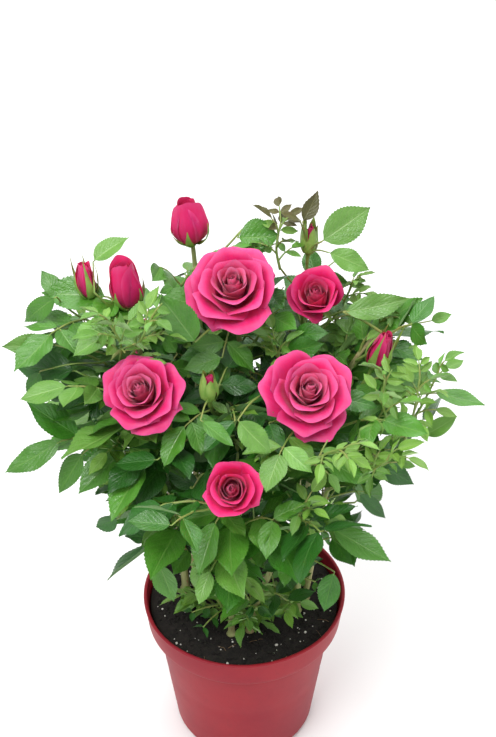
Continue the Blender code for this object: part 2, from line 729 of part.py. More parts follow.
def pot_outline():
    """The outer side from the lip down to the underside."""
    collar_foot = POT_HEIGHT - COLLAR_HEIGHT
    under_collar = wall_radius(collar_foot - 0.003)
    outline = [
        (POT_MOUTH_RADIUS, POT_HEIGHT),
        (POT_MOUTH_RADIUS + LIP_OVERHANG, POT_HEIGHT - LIP_HEIGHT / 2),
        (POT_MOUTH_RADIUS, POT_HEIGHT - LIP_HEIGHT),
        (POT_MOUTH_RADIUS - 0.0012, collar_foot),
        (under_collar, collar_foot - 0.003),
        (wall_radius(POT_CORNER), POT_CORNER),
    ]
    for angle in (30, 60):
        turn = math.radians(angle)
        inset = POT_CORNER * 0.7 * (1 - math.cos(turn))
        outline.append((wall_radius(POT_CORNER) - inset, POT_CORNER * (1 - math.sin(turn))))
    return outline + [(POT_FOOT_RADIUS, 0.0), (0.0, 0.0)]


def inner_outline(clearance):
    """The inner side from the floor up to the mouth, moved inwards by a clearance."""
    collar_foot = POT_HEIGHT - COLLAR_HEIGHT
    inset = POT_WALL + clearance
    return [
        (0.0, inset),
        (POT_FOOT_RADIUS - inset, inset),
        (wall_radius(POT_CORNER) - inset, POT_CORNER + 0.5 * inset),
        (wall_radius(collar_foot - 0.003) - inset, collar_foot - 0.003 + 0.5 * inset),
        (POT_MOUTH_RADIUS - 0.0012 - inset, collar_foot + 0.5 * inset),
        (POT_MOUTH_RADIUS - inset, POT_HEIGHT),
    ]


def build_pot(collection, finish):
    return turned("pot", inner_outline(0.0) + pot_outline(), collection, finish)


def build_soil(collection, finish):
    inside = inner_outline(GAP)
    (low_r, low_z), (high_r, high_z) = inside[-2:]
    edge = SOIL_LEVEL - SOIL_SUNK
    edge_radius = low_r + (high_r - low_r) * (edge - low_z) / (high_z - low_z)
    top = [(0.0, SOIL_LEVEL), (SOIL_FLAT_RADIUS, SOIL_LEVEL), (edge_radius, edge)]
    return turned("soil", top + inside[-2::-1], collection, finish)


# ---------------------------------------------------------------- stems and leaves as meshes


def stem_profile(sides):
    """The cross-section that a limb is swept with, at unit radius."""
    curve = bpy.data.curves.new(f"profile_{sides}", "CURVE")
    spline = curve.splines.new("POLY")
    spline.points.add(sides - 1)
    for i, point in enumerate(spline.points):
        angle = 2 * math.pi * i / sides
        point.co = (math.cos(angle), math.sin(angle), 0.0, 1.0)
    spline.use_cyclic_u = True
    return curve


def sweep(name, points, radii, section, collection, finish):
    """A capped tapering tube along the points, as a mesh object."""
    curve = bpy.data.curves.new(name, "CURVE")
    curve.dimensions = "3D"
    curve.bevel_mode = "OBJECT"
    curve.bevel_object = section
    curve.use_fill_caps = True
    spline = curve.splines.new("POLY")
    spline.points.add(len(points) - 1)
    for point, place_, radius in zip(spline.points, points, radii):
        point.co = (*place_, 1.0)
        point.radius = radius
    guide = bpy.data.objects.new(name + "_guide", curve)
    collection.objects.link(guide)
    mesh = evaluated_mesh(guide, weld=WELD)
    bpy.data.objects.remove(guide)
    return add_object(name, mesh, collection, finish)


def flatten_into_leaflet(obj, blade):
    """Spreads the last ring but one of a leaf stalk into the broad middle of the leaflet at its end.

    The ring before it, at the leaflet's root, is squared to the leaflet, so that its faces don't cross.
    """
    across = blade.normal.cross(blade.along)
    middle = blade.root + blade.along * blade.length * LEAFLET_BROADEST
    ring = sorted(obj.data.vertices, key=lambda vert: (vert.co - middle).length)[:TWIG_SIDES]
    low, ridge, high = sorted(ring, key=lambda vert: (vert.co - middle).dot(across))
    above = (high.co - low.co).cross(ridge.co - low.co).dot(blade.along) > 0
    up = blade.normal if above else -blade.normal
    spots = {
        low.index: (-across * blade.width / 2, -across * math.cos(math.pi / 6) - up / 2),
        ridge.index: (up * LEAFLET_THICKNESS, up),
        high.index: (across * blade.width / 2, across * math.cos(math.pi / 6) - up / 2),
    }
    linked = [(a, b) for edge in obj.data.edges for a, b in (edge.vertices, reversed(edge.vertices))]
    for index, (spread, squared) in spots.items():
        near = [obj.data.vertices[b] for a, b in linked if a == index]
        foot = min(near, key=lambda vert: (vert.co - blade.root).length)
        foot.co = blade.root + squared * LEAF_STALK_RADIUS
    for index, (spread, squared) in spots.items():
        obj.data.vertices[index].co = middle + spread


def sweep_leaf(leaf, section, collection, finish):
    """A leaf's stalk, broadened into its end leaflet where it still has one."""
    radii = taper(leaf.stalk, LEAF_STALK_RADIUS * 1.2, LEAF_STALK_RADIUS)
    end = leaf.blades[-1]
    if end.share < 1.0:
        sweep("leaf_stalk", leaf.stalk, radii, section, collection, finish)
        return
    reach = [end.root + end.along * end.length * share for share in (LEAFLET_BROADEST, 1.0)]
    radii += [LEAF_STALK_RADIUS, LEAFLET_TIP_RADIUS]
    tube = sweep("leaf_stalk", leaf.stalk + reach, radii, section, collection, finish)
    flatten_into_leaflet(tube, end)


def blade_mesh():
    """A side leaflet of unit length and width: a four-sided, two-ring sphere pressed flat."""
    bm = bmesh.new()
    bmesh.ops.create_uvsphere(bm, u_segments=4, v_segments=2, radius=1.0)
    for vert in bm.verts:
        x, y, z = vert.co
        along = LEAFLET_BROADEST if abs(x) < 0.5 else (0.0 if x < 0 else 1.0)
        vert.co = (along, y * 0.5, z * 0.5 * LEAFLET_THICKNESS / LEAFLET_LENGTH)
    mesh = bpy.data.meshes.new("blade")
    bm.to_mesh(mesh)
    bm.free()
    return mesh


def blade_matrix(blade):
    across = blade.normal.cross(blade.along)
    turn = Matrix((blade.along, across, blade.normal)).transposed().to_4x4()
    size = Matrix.Diagonal((blade.length, blade.width, blade.length, 1.0))
    sunk = 0.0 if blade.share == 1.0 else LEAFLET_SUNK
    return Matrix.Translation(blade.root - blade.along * sunk) @ turn @ size


def drop_scraps(mesh):
    """Leaves the largest of a mesh's closed pieces: a Boolean can part a sliver from it."""
    bm = bmesh.new()
    bm.from_mesh(mesh)
    unseen = set(bm.faces)
    pieces = []
    while unseen:
        piece, front = set(), [unseen.pop()]
        while front:
            face = front.pop()
            piece.add(face)
            near = {other for edge in face.edges if len(edge.link_faces) == 2 for other in edge.link_faces}
            for other in near & unseen:
                unseen.remove(other)
                front.append(other)
        pieces.append(piece)
    pieces.sort(key=len)
    scraps = [face for piece in pieces[:-1] for face in piece]
    bmesh.ops.delete(bm, geom=scraps, context="FACES")
    bm.to_mesh(mesh)
    bm.free()


def fuse(base, collection):
    """Joins everything in a collection to the base object by one Boolean union, and removes it."""
    union = base.modifiers.new("fuse", "BOOLEAN")
    union.operation = "UNION"
    union.operand_type = "COLLECTION"
    union.collection = collection
    union.solver = "MANIFOLD"
    bpy.context.view_layer.update()
    mesh = evaluated_mesh(base)
    drop_scraps(mesh)
    base.modifiers.clear()
    base.data = mesh
    for obj in list(collection.objects):
        bpy.data.objects.remove(obj)
    return base


# ---------------------------------------------------------------- roses and buds


def petal_ring(lobes, rim_radius, rim_height, turn, collection, finish):
    """One ring of petals as a scalloped cup that opens from the hip and rolls outwards at its rim."""
    bm = bmesh.new()
    bmesh.ops.create_grid(bm, x_segments=3 * lobes, y_segments=2, size=1.0)
    for vert in bm.verts:
        angle, up = math.pi * vert.co.x, (vert.co.y + 1) / 2
        notch = (1 - math.cos(lobes * angle)) / 2 * up**2
        radius = PETAL_FOOT + (rim_radius * (1 - 0.20 * notch) - PETAL_FOOT) * up**0.8
        height = rim_height * math.sin(math.pi / 2 * min(1.0, up * 1.35)) - 0.12 * rim_height * notch
        vert.co = (radius * math.cos(angle + turn), radius * math.sin(angle + turn), height)
    bmesh.ops.remove_doubles(bm, verts=bm.verts, dist=WELD)
    mesh = bpy.data.meshes.new("petals")
    bm.to_mesh(mesh)
    bm.free()
    ring = add_object("petals", mesh, collection, finish)
    shell = ring.modifiers.new("thickness", "SOLIDIFY")
    shell.thickness = PETAL_THICKNESS
    shell.offset = 0.0
    return ring


def ball(name, radius, height, low, segments, rings, collection, finish):
    """An upright egg from height low, wide by two radii."""
    bm = bmesh.new()
    bmesh.ops.create_uvsphere(bm, u_segments=segments, v_segments=rings, radius=1.0)
    for vert in bm.verts:
        x, y, z = vert.co
        narrow = 1.0 - 0.35 * max(0.0, z)
        vert.co = (x * radius * narrow, y * radius * narrow, low + height * (z + 1) / 2)
    mesh = bpy.data.meshes.new(name)
    bm.to_mesh(mesh)
    bm.free()
    return add_object(name, mesh, collection, finish)


def stub(name, collection, finish):
    """The end of the flower stalk, a clear gap above the stem that carries it."""
    bm = bmesh.new()
    length = STUB_LENGTH - GAP
    bmesh.ops.create_cone(
        bm,
        cap_ends=True,
        segments=6,
        radius1=STALK_RADIUS,
        radius2=HIP_RADIUS,
        depth=length + HIP_RADIUS,
        matrix=Matrix.Translation((0, 0, (HIP_RADIUS - length) / 2)),
    )
    mesh = bpy.data.meshes.new(name)
    bm.to_mesh(mesh)
    bm.free()
    return add_object(name, mesh, collection, finish)


def rose_pieces(shoot, collection, finish):
    """The heart and petals of one rose or bud, upright on the origin."""
    width = shoot.across
    if shoot.ending not in ROSE_RINGS:
        ball("heart", width * 0.5, width * BUD_HEIGHT + HEART_SUNK, -HEART_SUNK, 8, 6, collection, finish)
        return
    radius, height = ROSE_HEART[shoot.ending]
    ball("heart", radius * width, height * width + HEART_SUNK, -HEART_SUNK, 6, 5, collection, finish)
    for i, (lobes, rim, top) in enumerate(ROSE_RINGS[shoot.ending]):
        petal_ring(lobes, rim * width, top * width, i * math.pi / lobes, collection, finish)


def along_z(direction):
    """The turn that takes +Z to a direction."""
    return direction.to_track_quat("Z", "Y").to_matrix().to_4x4()


def build_rose(name, shoot, collection, finish):
    """One rose head fused to the end of its stalk, facing as its shoot says."""
    parts = new_collection(name + "_parts")
    rose_pieces(shoot, parts, finish)
    head = stub(name, collection, finish)
    fuse(head, parts)
    bpy.data.collections.remove(parts)
    head.data.transform(along_z(facing(shoot.turned, shoot.tilt)))
    head.data.transform(Matrix.Translation(bloom_base(shoot)))
    return head


# ---------------------------------------------------------------- the bush


def head_cone(shoot):
    """A flower's hip, facing, length and radii, for keeping leaves clear of it."""
    base, axis = bloom_base(shoot), facing(shoot.turned, shoot.tilt)
    length = shoot.across * (BUD_HEIGHT if shoot.ending in (BUD, SMALL_BUD, GREEN_BUD) else 0.5)
    return base, axis, length, HIP_RADIUS, shoot.across / 2


def below_head(path, shoot):
    """A stem's points, the last pulled back to leave room for the flower's own stalk."""
    if shoot.ending in (LEAFY, GREEN_BUD):
        return path
    way = facing(shoot.turned, shoot.tilt)
    return path[:-1] + [path[-1] - way * STUB_LENGTH * 2, path[-1] - way * STUB_LENGTH]


def low_spray(spray, cane):
    """A short shoot that starts just clear of the side of a cane."""
    at, way = point_on(cane, path_length(cane) * spray.share)
    tip = place(spray.bearing, spray.reach, spray.height)
    out = square_to(tip - at, way)
    start = at + out * (CANE_RADIUS + GAP)
    facing_out = (LEAFY, 0.0, spray.bearing, SPRAY_TILT)
    shoot = Shoot(spray.name, spray.bearing, spray.reach, spray.height, *facing_out)
    path = side_path(start, (out + way * 0.6).normalized(), shoot)
    return shoot, [start, start + out * SPRAY_SQUARE] + path[2:]


def plan_bush(blade):
    """The canes, and every mass's stems and leaves, as points and sizes."""
    room = Room([head_cone(s) for s in SHOOTS if s.ending != LEAFY], blade)
    canes, stems, sites = {}, {}, {}
    for mass, foot in cane_feet().items():
        shoots = [s for s in SHOOTS if s.mass == mass]
        path = leader_path(foot, shoots[0])
        split = round(PATH_STEPS * CANE_SHARE)
        radii = taper(path, CANE_RADIUS, STALK_RADIUS)
        canes[mass] = Stem(path[: split + 1], [CANE_RADIUS * CANE_FLARE] + radii[1 : split + 1])
        start = path[split] + (path[split + 1] - path[split]).normalized() * GAP
        above = below_head([start] + path[split + 1 :], shoots[0])
        stems[mass] = [Stem(above, taper(above, radii[split], STALK_RADIUS))]
        length = path_length(above)
        leafy = shoots[0].ending == LEAFY
        sites[mass] = sites_along(mass, above, FIRST_LEAF, length - BARE_BELOW[shoots[0].ending], leafy)
        for i, shoot in enumerate(shoots[1:], 1):
            at, way = point_on(above, length * FORK_SHARE * i)
            side = below_head(side_path(at, way, shoot), shoot)
            stems[mass].append(Stem(side, taper(side, FORK_RADIUS, TWIG_RADIUS)))
            end = max(SHORTEST_LEAFY, path_length(side) - BARE_BELOW[shoot.ending])
            fork = f"{mass}-{i}"
            sites[mass] += sites_along(fork, side, FIRST_FORK_LEAF, end, shoot.ending == LEAFY)
    for spray in LOW_SPRAYS:
        shoot, path = low_spray(spray, canes[spray.carrier].points)
        stems[spray.name] = [Stem(path, taper(path, FORK_RADIUS, TWIG_RADIUS))]
        length = path_length(path)
        sites[spray.name] = sites_along(spray.name, path, FIRST_LEAF, length, True, SPRAY_LEAF_SIZE)
    for mass, cane in canes.items():
        room.add_stem(f"cane {mass}", cane.points, CANE_RADIUS)
    for base, axis, _, hip, _ in room.heads:
        room.add_stem("flower stalk", [base - axis * STUB_LENGTH, base + axis * hip], hip)
    for mass, group in stems.items():
        for stem in group:
            room.add_stem(mass, stem.points, max(stem.radii))
    for mass in stems:
        if mass in canes:
            twigs, extra = twigs_along(mass, stems[mass][0].points, sites[mass], room, mass)
            for twig in twigs:
                room.add_stem(mass, twig.points, TWIG_RADIUS)
            stems[mass] += twigs
            sites[mass] += extra
    room.share_out()
    leaves = {mass: [room.settle(mass, site) for site in lead_sites(mass, stems[mass])] for mass in stems}
    for mass in stems:
        leaves[mass] += [room.settle(mass, site) for site in sites[mass]]
        leaves[mass] = [leaf for leaf in leaves[mass] if leaf is not None]
    return canes, stems, leaves


def build_mass(name, stems, leaves, buds, blade, section, collection, finish):
    """One mass: its stems, leaves and green buds, fused into one solid."""
    parts = new_collection(name + "_parts")
    base = sweep(name, stems[0].points, stems[0].radii, section, collection, finish)
    for stem in stems[1:]:
        sweep("twig", stem.points, stem.radii, section, parts, finish)
    for leaf in leaves:
        sweep_leaf(leaf, section, parts, finish)
        for each in leaf.blades:
            if each.share < 1.0:
                add_object("leaflet", blade, parts).matrix_world = blade_matrix(each)
    for shoot in buds:
        height = shoot.across * GREEN_BUD_HEIGHT
        bud = ball("bud", shoot.across / 2, height, -GREEN_BUD_SUNK, 6, 5, parts, finish)
        upright = along_z(facing(shoot.turned, shoot.tilt))
        bud.matrix_world = Matrix.Translation(bloom_base(shoot)) @ upright
    fuse(base, parts)
    bpy.data.collections.remove(parts)


def main():
    clear_scene()
    bush = new_collection("rose_bush")
    guides = new_collection("guides")
    leaf = material("leaf", LEAF_GREEN, 0.45)
    stem = material("stem", STEM_GREEN, 0.5)
    bloom = material("petal", PETAL_PINK, 0.55)
    build_pot(bush, material("pot_plastic", POT_RED, 0.4))
    build_soil(bush, material("soil", SOIL_BROWN, 0.95))

    cane_section = bpy.data.objects.new("cane_section", stem_profile(CANE_SIDES))
    twig_section = bpy.data.objects.new("twig_section", stem_profile(TWIG_SIDES))
    for section in (cane_section, twig_section):
        guides.objects.link(section)
        section.hide_render = True

    blade = blade_mesh()
    blade.materials.append(leaf)
    canes, stems, leaves = plan_bush(blade)
    for mass, cane in canes.items():
        sweep(f"cane_{mass}", cane.points, cane.radii, cane_section, bush, stem)
    for mass in stems:
        buds = [s for s in SHOOTS if s.mass == mass and s.ending == GREEN_BUD]
        build_mass(f"foliage_{mass}", stems[mass], leaves[mass], buds, blade, twig_section, bush, leaf)
    for shoot in SHOOTS:
        if shoot.ending in ROSE_NAMES:
            build_rose(f"{ROSE_NAMES[shoot.ending]}_{shoot.mass}", shoot, bush, bloom)
    print(sum(len(each.blades) for group in leaves.values() for each in group), "leaflets")


main()
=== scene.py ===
"""The looks of a pot-grown miniature rose bush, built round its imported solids, in metres, +Z up.

The bush is grown again by the rule of its solids, from the same names and seeds, so that each cane, shoot
and leaf stands where its solid does. It is then carried on to finer twigs and smaller leaves within the
same crown. Leaves, petals, bark, pot and soil are meshes in their own outline, joined into one piece a kind.
"""

from __future__ import annotations

import json
import logging
import math
import random
from dataclasses import dataclass, field
from enum import Enum
from itertools import product
from typing import Iterable, NamedTuple, Optional, Sequence, Union

import bmesh
import bpy
import numpy as np
from mathutils import Matrix, Vector, noise
from mathutils.bvhtree import BVHTree
from mathutils.kdtree import KDTree

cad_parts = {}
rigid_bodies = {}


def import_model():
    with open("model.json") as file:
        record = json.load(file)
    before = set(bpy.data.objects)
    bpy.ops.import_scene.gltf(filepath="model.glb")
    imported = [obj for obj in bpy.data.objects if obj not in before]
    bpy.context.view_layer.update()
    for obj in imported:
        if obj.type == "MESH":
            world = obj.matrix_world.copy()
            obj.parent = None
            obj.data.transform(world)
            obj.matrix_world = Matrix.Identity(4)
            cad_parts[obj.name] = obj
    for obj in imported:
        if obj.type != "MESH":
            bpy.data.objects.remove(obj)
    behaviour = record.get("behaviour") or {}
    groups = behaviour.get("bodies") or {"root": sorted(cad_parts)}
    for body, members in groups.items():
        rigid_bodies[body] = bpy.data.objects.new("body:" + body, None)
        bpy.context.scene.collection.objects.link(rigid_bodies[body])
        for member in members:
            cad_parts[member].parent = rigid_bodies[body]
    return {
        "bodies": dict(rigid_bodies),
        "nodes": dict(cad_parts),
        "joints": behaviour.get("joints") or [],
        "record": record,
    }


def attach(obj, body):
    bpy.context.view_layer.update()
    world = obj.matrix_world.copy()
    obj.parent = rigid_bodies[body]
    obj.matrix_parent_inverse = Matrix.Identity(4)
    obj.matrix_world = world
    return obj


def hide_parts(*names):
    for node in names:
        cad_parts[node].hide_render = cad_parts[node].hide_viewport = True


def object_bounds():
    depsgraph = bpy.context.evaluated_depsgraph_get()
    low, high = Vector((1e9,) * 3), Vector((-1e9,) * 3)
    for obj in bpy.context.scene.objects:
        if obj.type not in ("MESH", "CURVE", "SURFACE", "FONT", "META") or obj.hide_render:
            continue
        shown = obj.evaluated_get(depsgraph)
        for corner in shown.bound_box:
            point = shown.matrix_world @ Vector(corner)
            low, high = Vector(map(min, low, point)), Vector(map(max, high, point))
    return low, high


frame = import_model()
SOLID_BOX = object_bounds()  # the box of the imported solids

LOG = logging.getLogger("rose_bush")
BODY = "root"
UP = Vector((0, 0, 1))
PLACES = "OFBake"  # the map that holds where a point lies on its own leaflet or petal
ROUND = 6.28  # a full turn in radians, for phases
Colour = tuple[float, float, float]
Material = bpy.types.Material
Node = bpy.types.Node
Socket = bpy.types.NodeSocket
Input = Union[float, Colour, Node, Socket]


# ---------------- what the bush is


class Ending(Enum):
    """What a shoot ends in."""

    OPEN = "open"
    CUP = "cup"
    BUD = "bud"
    SMALL_BUD = "small_bud"
    GREEN_BUD = "green_bud"
    LEAFY = "leafy"


class Tint(Enum):
    """The kinds of leaf colour, dealt out leaf by leaf. TENDER and BRONZE are young leaves' own colours. LIGHT, MID,
    DEEP and DARK, with TENDER at the top of that scale, are lighter and darker copies of one green dealt out by place:
    partly the leaves' age, partly painted light on the crown's skin and top and painted shade within it and low.
    """

    TENDER = "tender"
    LIGHT = "light"
    MID = "mid"
    DEEP = "deep"
    DARK = "dark"
    BRONZE = "bronze"


class Shoot(NamedTuple):
    """A stem's end: bearing, reach and height above the soil, and what stands on it and how it faces."""

    mass: str
    bearing: float
    reach: float
    height: float
    ending: Ending
    across: float
    turned: float
    tilt: float


class LeadLeaf(NamedTuple):
    """A leaf that stands furthest out or shows most, by the place of its tip."""

    mass: str
    bearing: float
    reach: float
    height: float
    pairs: int


class LowSpray(NamedTuple):
    """A short leafy spray low on a cane."""

    name: str
    carrier: str
    share: float
    bearing: float
    reach: float
    height: float


class ShownLeaf(NamedTuple):
    """A leaflet that shows most, by the bearings, reaches and heights of its foot and its tip."""

    foot: tuple[float, float, float]
    tip: tuple[float, float, float]
    width: float
    tint: Tint


class Clearing(NamedTuple):
    """A sector of the crown's skin that stays open: its bearings, heights above the soil and inner reach."""

    bearings: tuple[float, float]
    heights: tuple[float, float]
    reach: float


class Blade(NamedTuple):
    """One leaflet: its share along the leaf's stalk, root, directions and size."""

    share: float
    root: Vector
    along: Vector
    normal: Vector
    length: float
    width: float

    def at(self, share: float) -> Vector:
        """The point at a share of its length."""
        return self.root + self.along * self.length * share

    def scaled(self, size: float) -> Blade:
        """The leaflet at a share of its size."""
        return self._replace(length=self.length * size, width=self.width * size)


class Leaf(NamedTuple):
    """A leaf's stalk and its leaflets."""

    stalk: list[Vector]
    blades: list[Blade]


class Site(NamedTuple):
    """Where a leaf grows, which way, and how large."""

    label: str
    root: Vector
    stem_way: Optional[Vector]
    out_way: Optional[Vector]
    size: float
    pairs: int
    target: Optional[Vector]


class Stem(NamedTuple):
    """A stem's points and radii."""

    points: list[Vector]
    radii: list[float]


SHOOTS: tuple[Shoot, ...] = tuple(map(Shoot._make, (
    ("middle", -40, 0.008, 0.228, Ending.OPEN, 0.052, -4, 42),
    ("middle", -25, 0.040, 0.190, Ending.GREEN_BUD, 0.010, 0, 12),
    ("left_rose", -49, 0.068, 0.192, Ending.OPEN, 0.045, -18, 48),
    ("left_rose", -60, 0.046, 0.150, Ending.LEAFY, 0.0, -60, 35),
    ("right_rose", 36, 0.056, 0.192, Ending.OPEN, 0.050, 8, 46),
    ("right_rose", 18, 0.046, 0.150, Ending.LEAFY, 0.0, 14, 40),
    ("upper_right", 128, 0.049, 0.200, Ending.CUP, 0.032, -12, 32),
    ("upper_right", 145, 0.0615, 0.222, Ending.GREEN_BUD, 0.010, 120, 5),
    ("front_rose", -4, 0.080, 0.162, Ending.CUP, 0.031, 0, 44),
    ("front_rose", 22, 0.072, 0.130, Ending.LEAFY, 0.0, 24, 50),
    ("tall_bud", -145, 0.049, 0.240, Ending.BUD, 0.019, -60, 6),
    ("tall_bud", -152, 0.059, 0.188, Ending.LEAFY, 0.0, -150, 40),
    ("left_buds", -108, 0.064, 0.214, Ending.BUD, 0.019, -90, 6),
    ("left_buds", -104, 0.084, 0.214, Ending.SMALL_BUD, 0.011, -90, 8),
    ("left", -84, 0.066, 0.156, Ending.LEAFY, 0.0, -84, 55),
    ("left", -72, 0.056, 0.104, Ending.LEAFY, 0.0, -72, 60),
    ("upper_far_right", 107, 0.073, 0.179, Ending.LEAFY, 0.0, 108, 45),
    ("upper_far_right", 90, 0.071, 0.184, Ending.SMALL_BUD, 0.013, 60, 18),
    ("right", 84, 0.068, 0.138, Ending.LEAFY, 0.0, 84, 50),
    ("right", 62, 0.062, 0.118, Ending.LEAFY, 0.0, 62, 55),
    ("front_right", 44, 0.050, 0.092, Ending.LEAFY, 0.0, 44, 55),
    ("front_left", -44, 0.052, 0.098, Ending.LEAFY, 0.0, -44, 55),
    ("front_left", -10, 0.052, 0.080, Ending.LEAFY, 0.0, -8, 60),
    ("back_rose", 180, 0.078, 0.160, Ending.OPEN, 0.046, 180, 46),
    ("back_rose", -166, 0.046, 0.198, Ending.GREEN_BUD, 0.010, 180, 8),
    ("back_left", -137, 0.089, 0.149, Ending.CUP, 0.034, -140, 42),
    ("back_left", -115, 0.072, 0.104, Ending.LEAFY, 0.0, -115, 60),
    ("back_right", 150, 0.086, 0.170, Ending.BUD, 0.019, 150, 20),
    ("back_right", 122, 0.074, 0.116, Ending.LEAFY, 0.0, 122, 62),
    ("back_low", 168, 0.066, 0.092, Ending.LEAFY, 0.0, 168, 68),
)))

LEAD_LEAVES: tuple[LeadLeaf, ...] = tuple(map(LeadLeaf._make, (
    ("left", -90, 0.124, 0.178, 1),
    ("left", -80, 0.112, 0.156, 1),
    ("left", -81, 0.132, 0.108, 2),
    ("left", -62, 0.102, 0.126, 1),
    ("left_buds", -101, 0.108, 0.210, 2),
    ("left_buds", -124, 0.088, 0.222, 1),
    ("left_rose", -90, 0.094, 0.183, 1),
    ("left_rose", -45, 0.098, 0.134, 1),
    ("front_left", -46, 0.098, 0.092, 2),
    ("front_left", -30, 0.094, 0.106, 1),
    ("front_left", -14, 0.082, 0.078, 1),
    ("low_left", -34, 0.062, 0.044, 1),
    ("low_front", 24, 0.058, 0.032, 1),
    ("front_rose", 16, 0.102, 0.122, 1),
    ("front_rose", -6, 0.096, 0.128, 1),
    ("front_rose", 12, 0.070, 0.166, 1),
    ("front_right", 48, 0.106, 0.094, 1),
    ("front_right", 34, 0.086, 0.062, 1),
    ("front_right", 57, 0.094, 0.106, 1),
    ("right", 66, 0.100, 0.124, 1),
    ("right", 78, 0.112, 0.124, 2),
    ("right", 80, 0.114, 0.148, 1),
    ("right", 90, 0.132, 0.144, 1),
    ("upper_far_right", 86, 0.104, 0.176, 1),
    ("upper_far_right", 110, 0.118, 0.175, 2),
    ("upper_far_right", 104, 0.090, 0.200, 1),
    ("upper_right", 131, 0.090, 0.230, 2),
    ("upper_right", 147, 0.072, 0.238, 1),
    ("upper_right", 112, 0.072, 0.214, 1),
    ("middle", -90, 0.040, 0.212, 1),
    ("middle", -12, 0.064, 0.164, 1),
    ("tall_bud", 166, 0.040, 0.232, 1),
    ("tall_bud", -128, 0.052, 0.210, 1),
)))

LOW_SPRAYS: tuple[LowSpray, ...] = tuple(map(LowSpray._make, (
    ("low_left", "front_left", 0.45, -38, 0.036, 0.038),
    ("low_front", "front_rose", 0.35, 4, 0.034, 0.034),
    ("low_right", "front_right", 0.45, 50, 0.036, 0.040),
    ("low_back_right", "upper_right", 0.50, 112, 0.040, 0.044),
    ("low_back_left", "back_left", 0.50, -136, 0.040, 0.044),
)))

# The cutting that carries the cane of each mass, and where it is rooted: bearing and distance out.
ROOTED: dict[str, tuple[str, ...]] = {
    "front": ("front_rose", "front_left", "front_right"),
    "right": ("right_rose", "upper_far_right", "right"),
    "back": ("upper_right", "back_right", "back_low", "back_rose", "middle"),
    "left": ("left_rose", "left", "left_buds", "back_left", "tall_bud"),
}
CUTTINGS: dict[str, tuple[float, float]] = {
    "front": (-6, 0.026),
    "right": (80, 0.032),
    "back": (178, 0.026),
    "left": (-96, 0.030),
}
ROSE_NAMES: dict[Ending, str] = {
    Ending.OPEN: "rose",
    Ending.CUP: "half_open_rose",
    Ending.BUD: "opening_bud",
    Ending.SMALL_BUD: "bud",
}
BUDS = (Ending.BUD, Ending.SMALL_BUD, Ending.GREEN_BUD)
FLOWER_STALK = "flower stalk"


# ---------------- directions and paths


def flat_direction(bearing: float) -> Vector:
    """The level unit vector at a bearing: 0 is the front, -Y, and 90 is the right, +X."""
    angle = math.radians(bearing)
    return Vector((math.sin(angle), -math.cos(angle), 0.0))


def facing(bearing: float, tilt: float) -> Vector:
    """The unit vector tipped from upright by tilt, towards a bearing."""
    angle = math.radians(tilt)
    return flat_direction(bearing) * math.sin(angle) + Vector((0, 0, math.cos(angle)))


def square_to(vector: Vector, axis: Vector) -> Vector:
    """The part of vector that is square to axis, at unit length."""
    return (vector - axis * vector.dot(axis)).normalized()


def spun(vector: Vector, angle: float, axis: Vector) -> Vector:
    """The vector turned round an axis by an angle in degrees."""
    return Matrix.Rotation(math.radians(angle), 3, axis) @ vector


def lifted(out: Vector, up: Vector, angle: float) -> Vector:
    """The unit vector raised from out towards up by an angle in degrees."""
    return (out * math.cos(math.radians(angle)) + up * math.sin(math.radians(angle))).normalized()


def sideways(way: Vector) -> Vector:
    """A unit vector square to a direction, always to the same side of it."""
    return square_to(Vector((0.3, 1, 0.1)), way)


def bearing_of(point: Vector) -> float:
    """The bearing of a point from the pot's axis, in degrees."""
    return math.degrees(math.atan2(point.x, -point.y))


def bezier(p0: Vector, p1: Vector, p2: Vector, p3: Vector, steps: int) -> list[Vector]:
    """Points along a cubic Bezier curve."""
    shares = ((1 - i / steps, i / steps) for i in range(steps + 1))
    return [p0 * s**3 + p1 * (3 * s * s * t) + p2 * (3 * s * t * t) + p3 * t**3 for s, t in shares]


def point_on(path: Sequence[Vector], distance: float) -> tuple[Vector, Vector]:
    """The point and direction at a distance along a path.

    Args:
        path: The path's points.
        distance: How far along it.

    Returns:
        The point and the direction there.
    """
    for a, b in zip(path, path[1:]):
        step = (b - a).length
        if distance <= step:
            return a.lerp(b, distance / step), (b - a).normalized()
        distance -= step
    return path[-1].copy(), (path[-1] - path[-2]).normalized()


def cut_path(path: Sequence[Vector], distance: float) -> list[Vector]:
    """The part of a path that lies within a distance of its start.

    Args:
        path: The path's points.
        distance: How much of it to keep.

    Returns:
        The points of that part.
    """
    kept = [path[0]]
    for a, b in zip(path, path[1:]):
        step = (b - a).length
        if distance <= step * 1.0001:
            return kept + [a.lerp(b, min(1.0, distance / step))]
        kept.append(b)
        distance -= step
    return kept


def path_length(path: Sequence[Vector]) -> float:
    """The length of a path."""
    return sum((b - a).length for a, b in zip(path, path[1:]))


def taper(path: Sequence[Vector], thick: float, thin: float) -> list[float]:
    """Radii that run evenly from thick to thin along a path's points."""
    last = len(path) - 1
    return [thick + (thin - thick) * i / last for i in range(last + 1)]


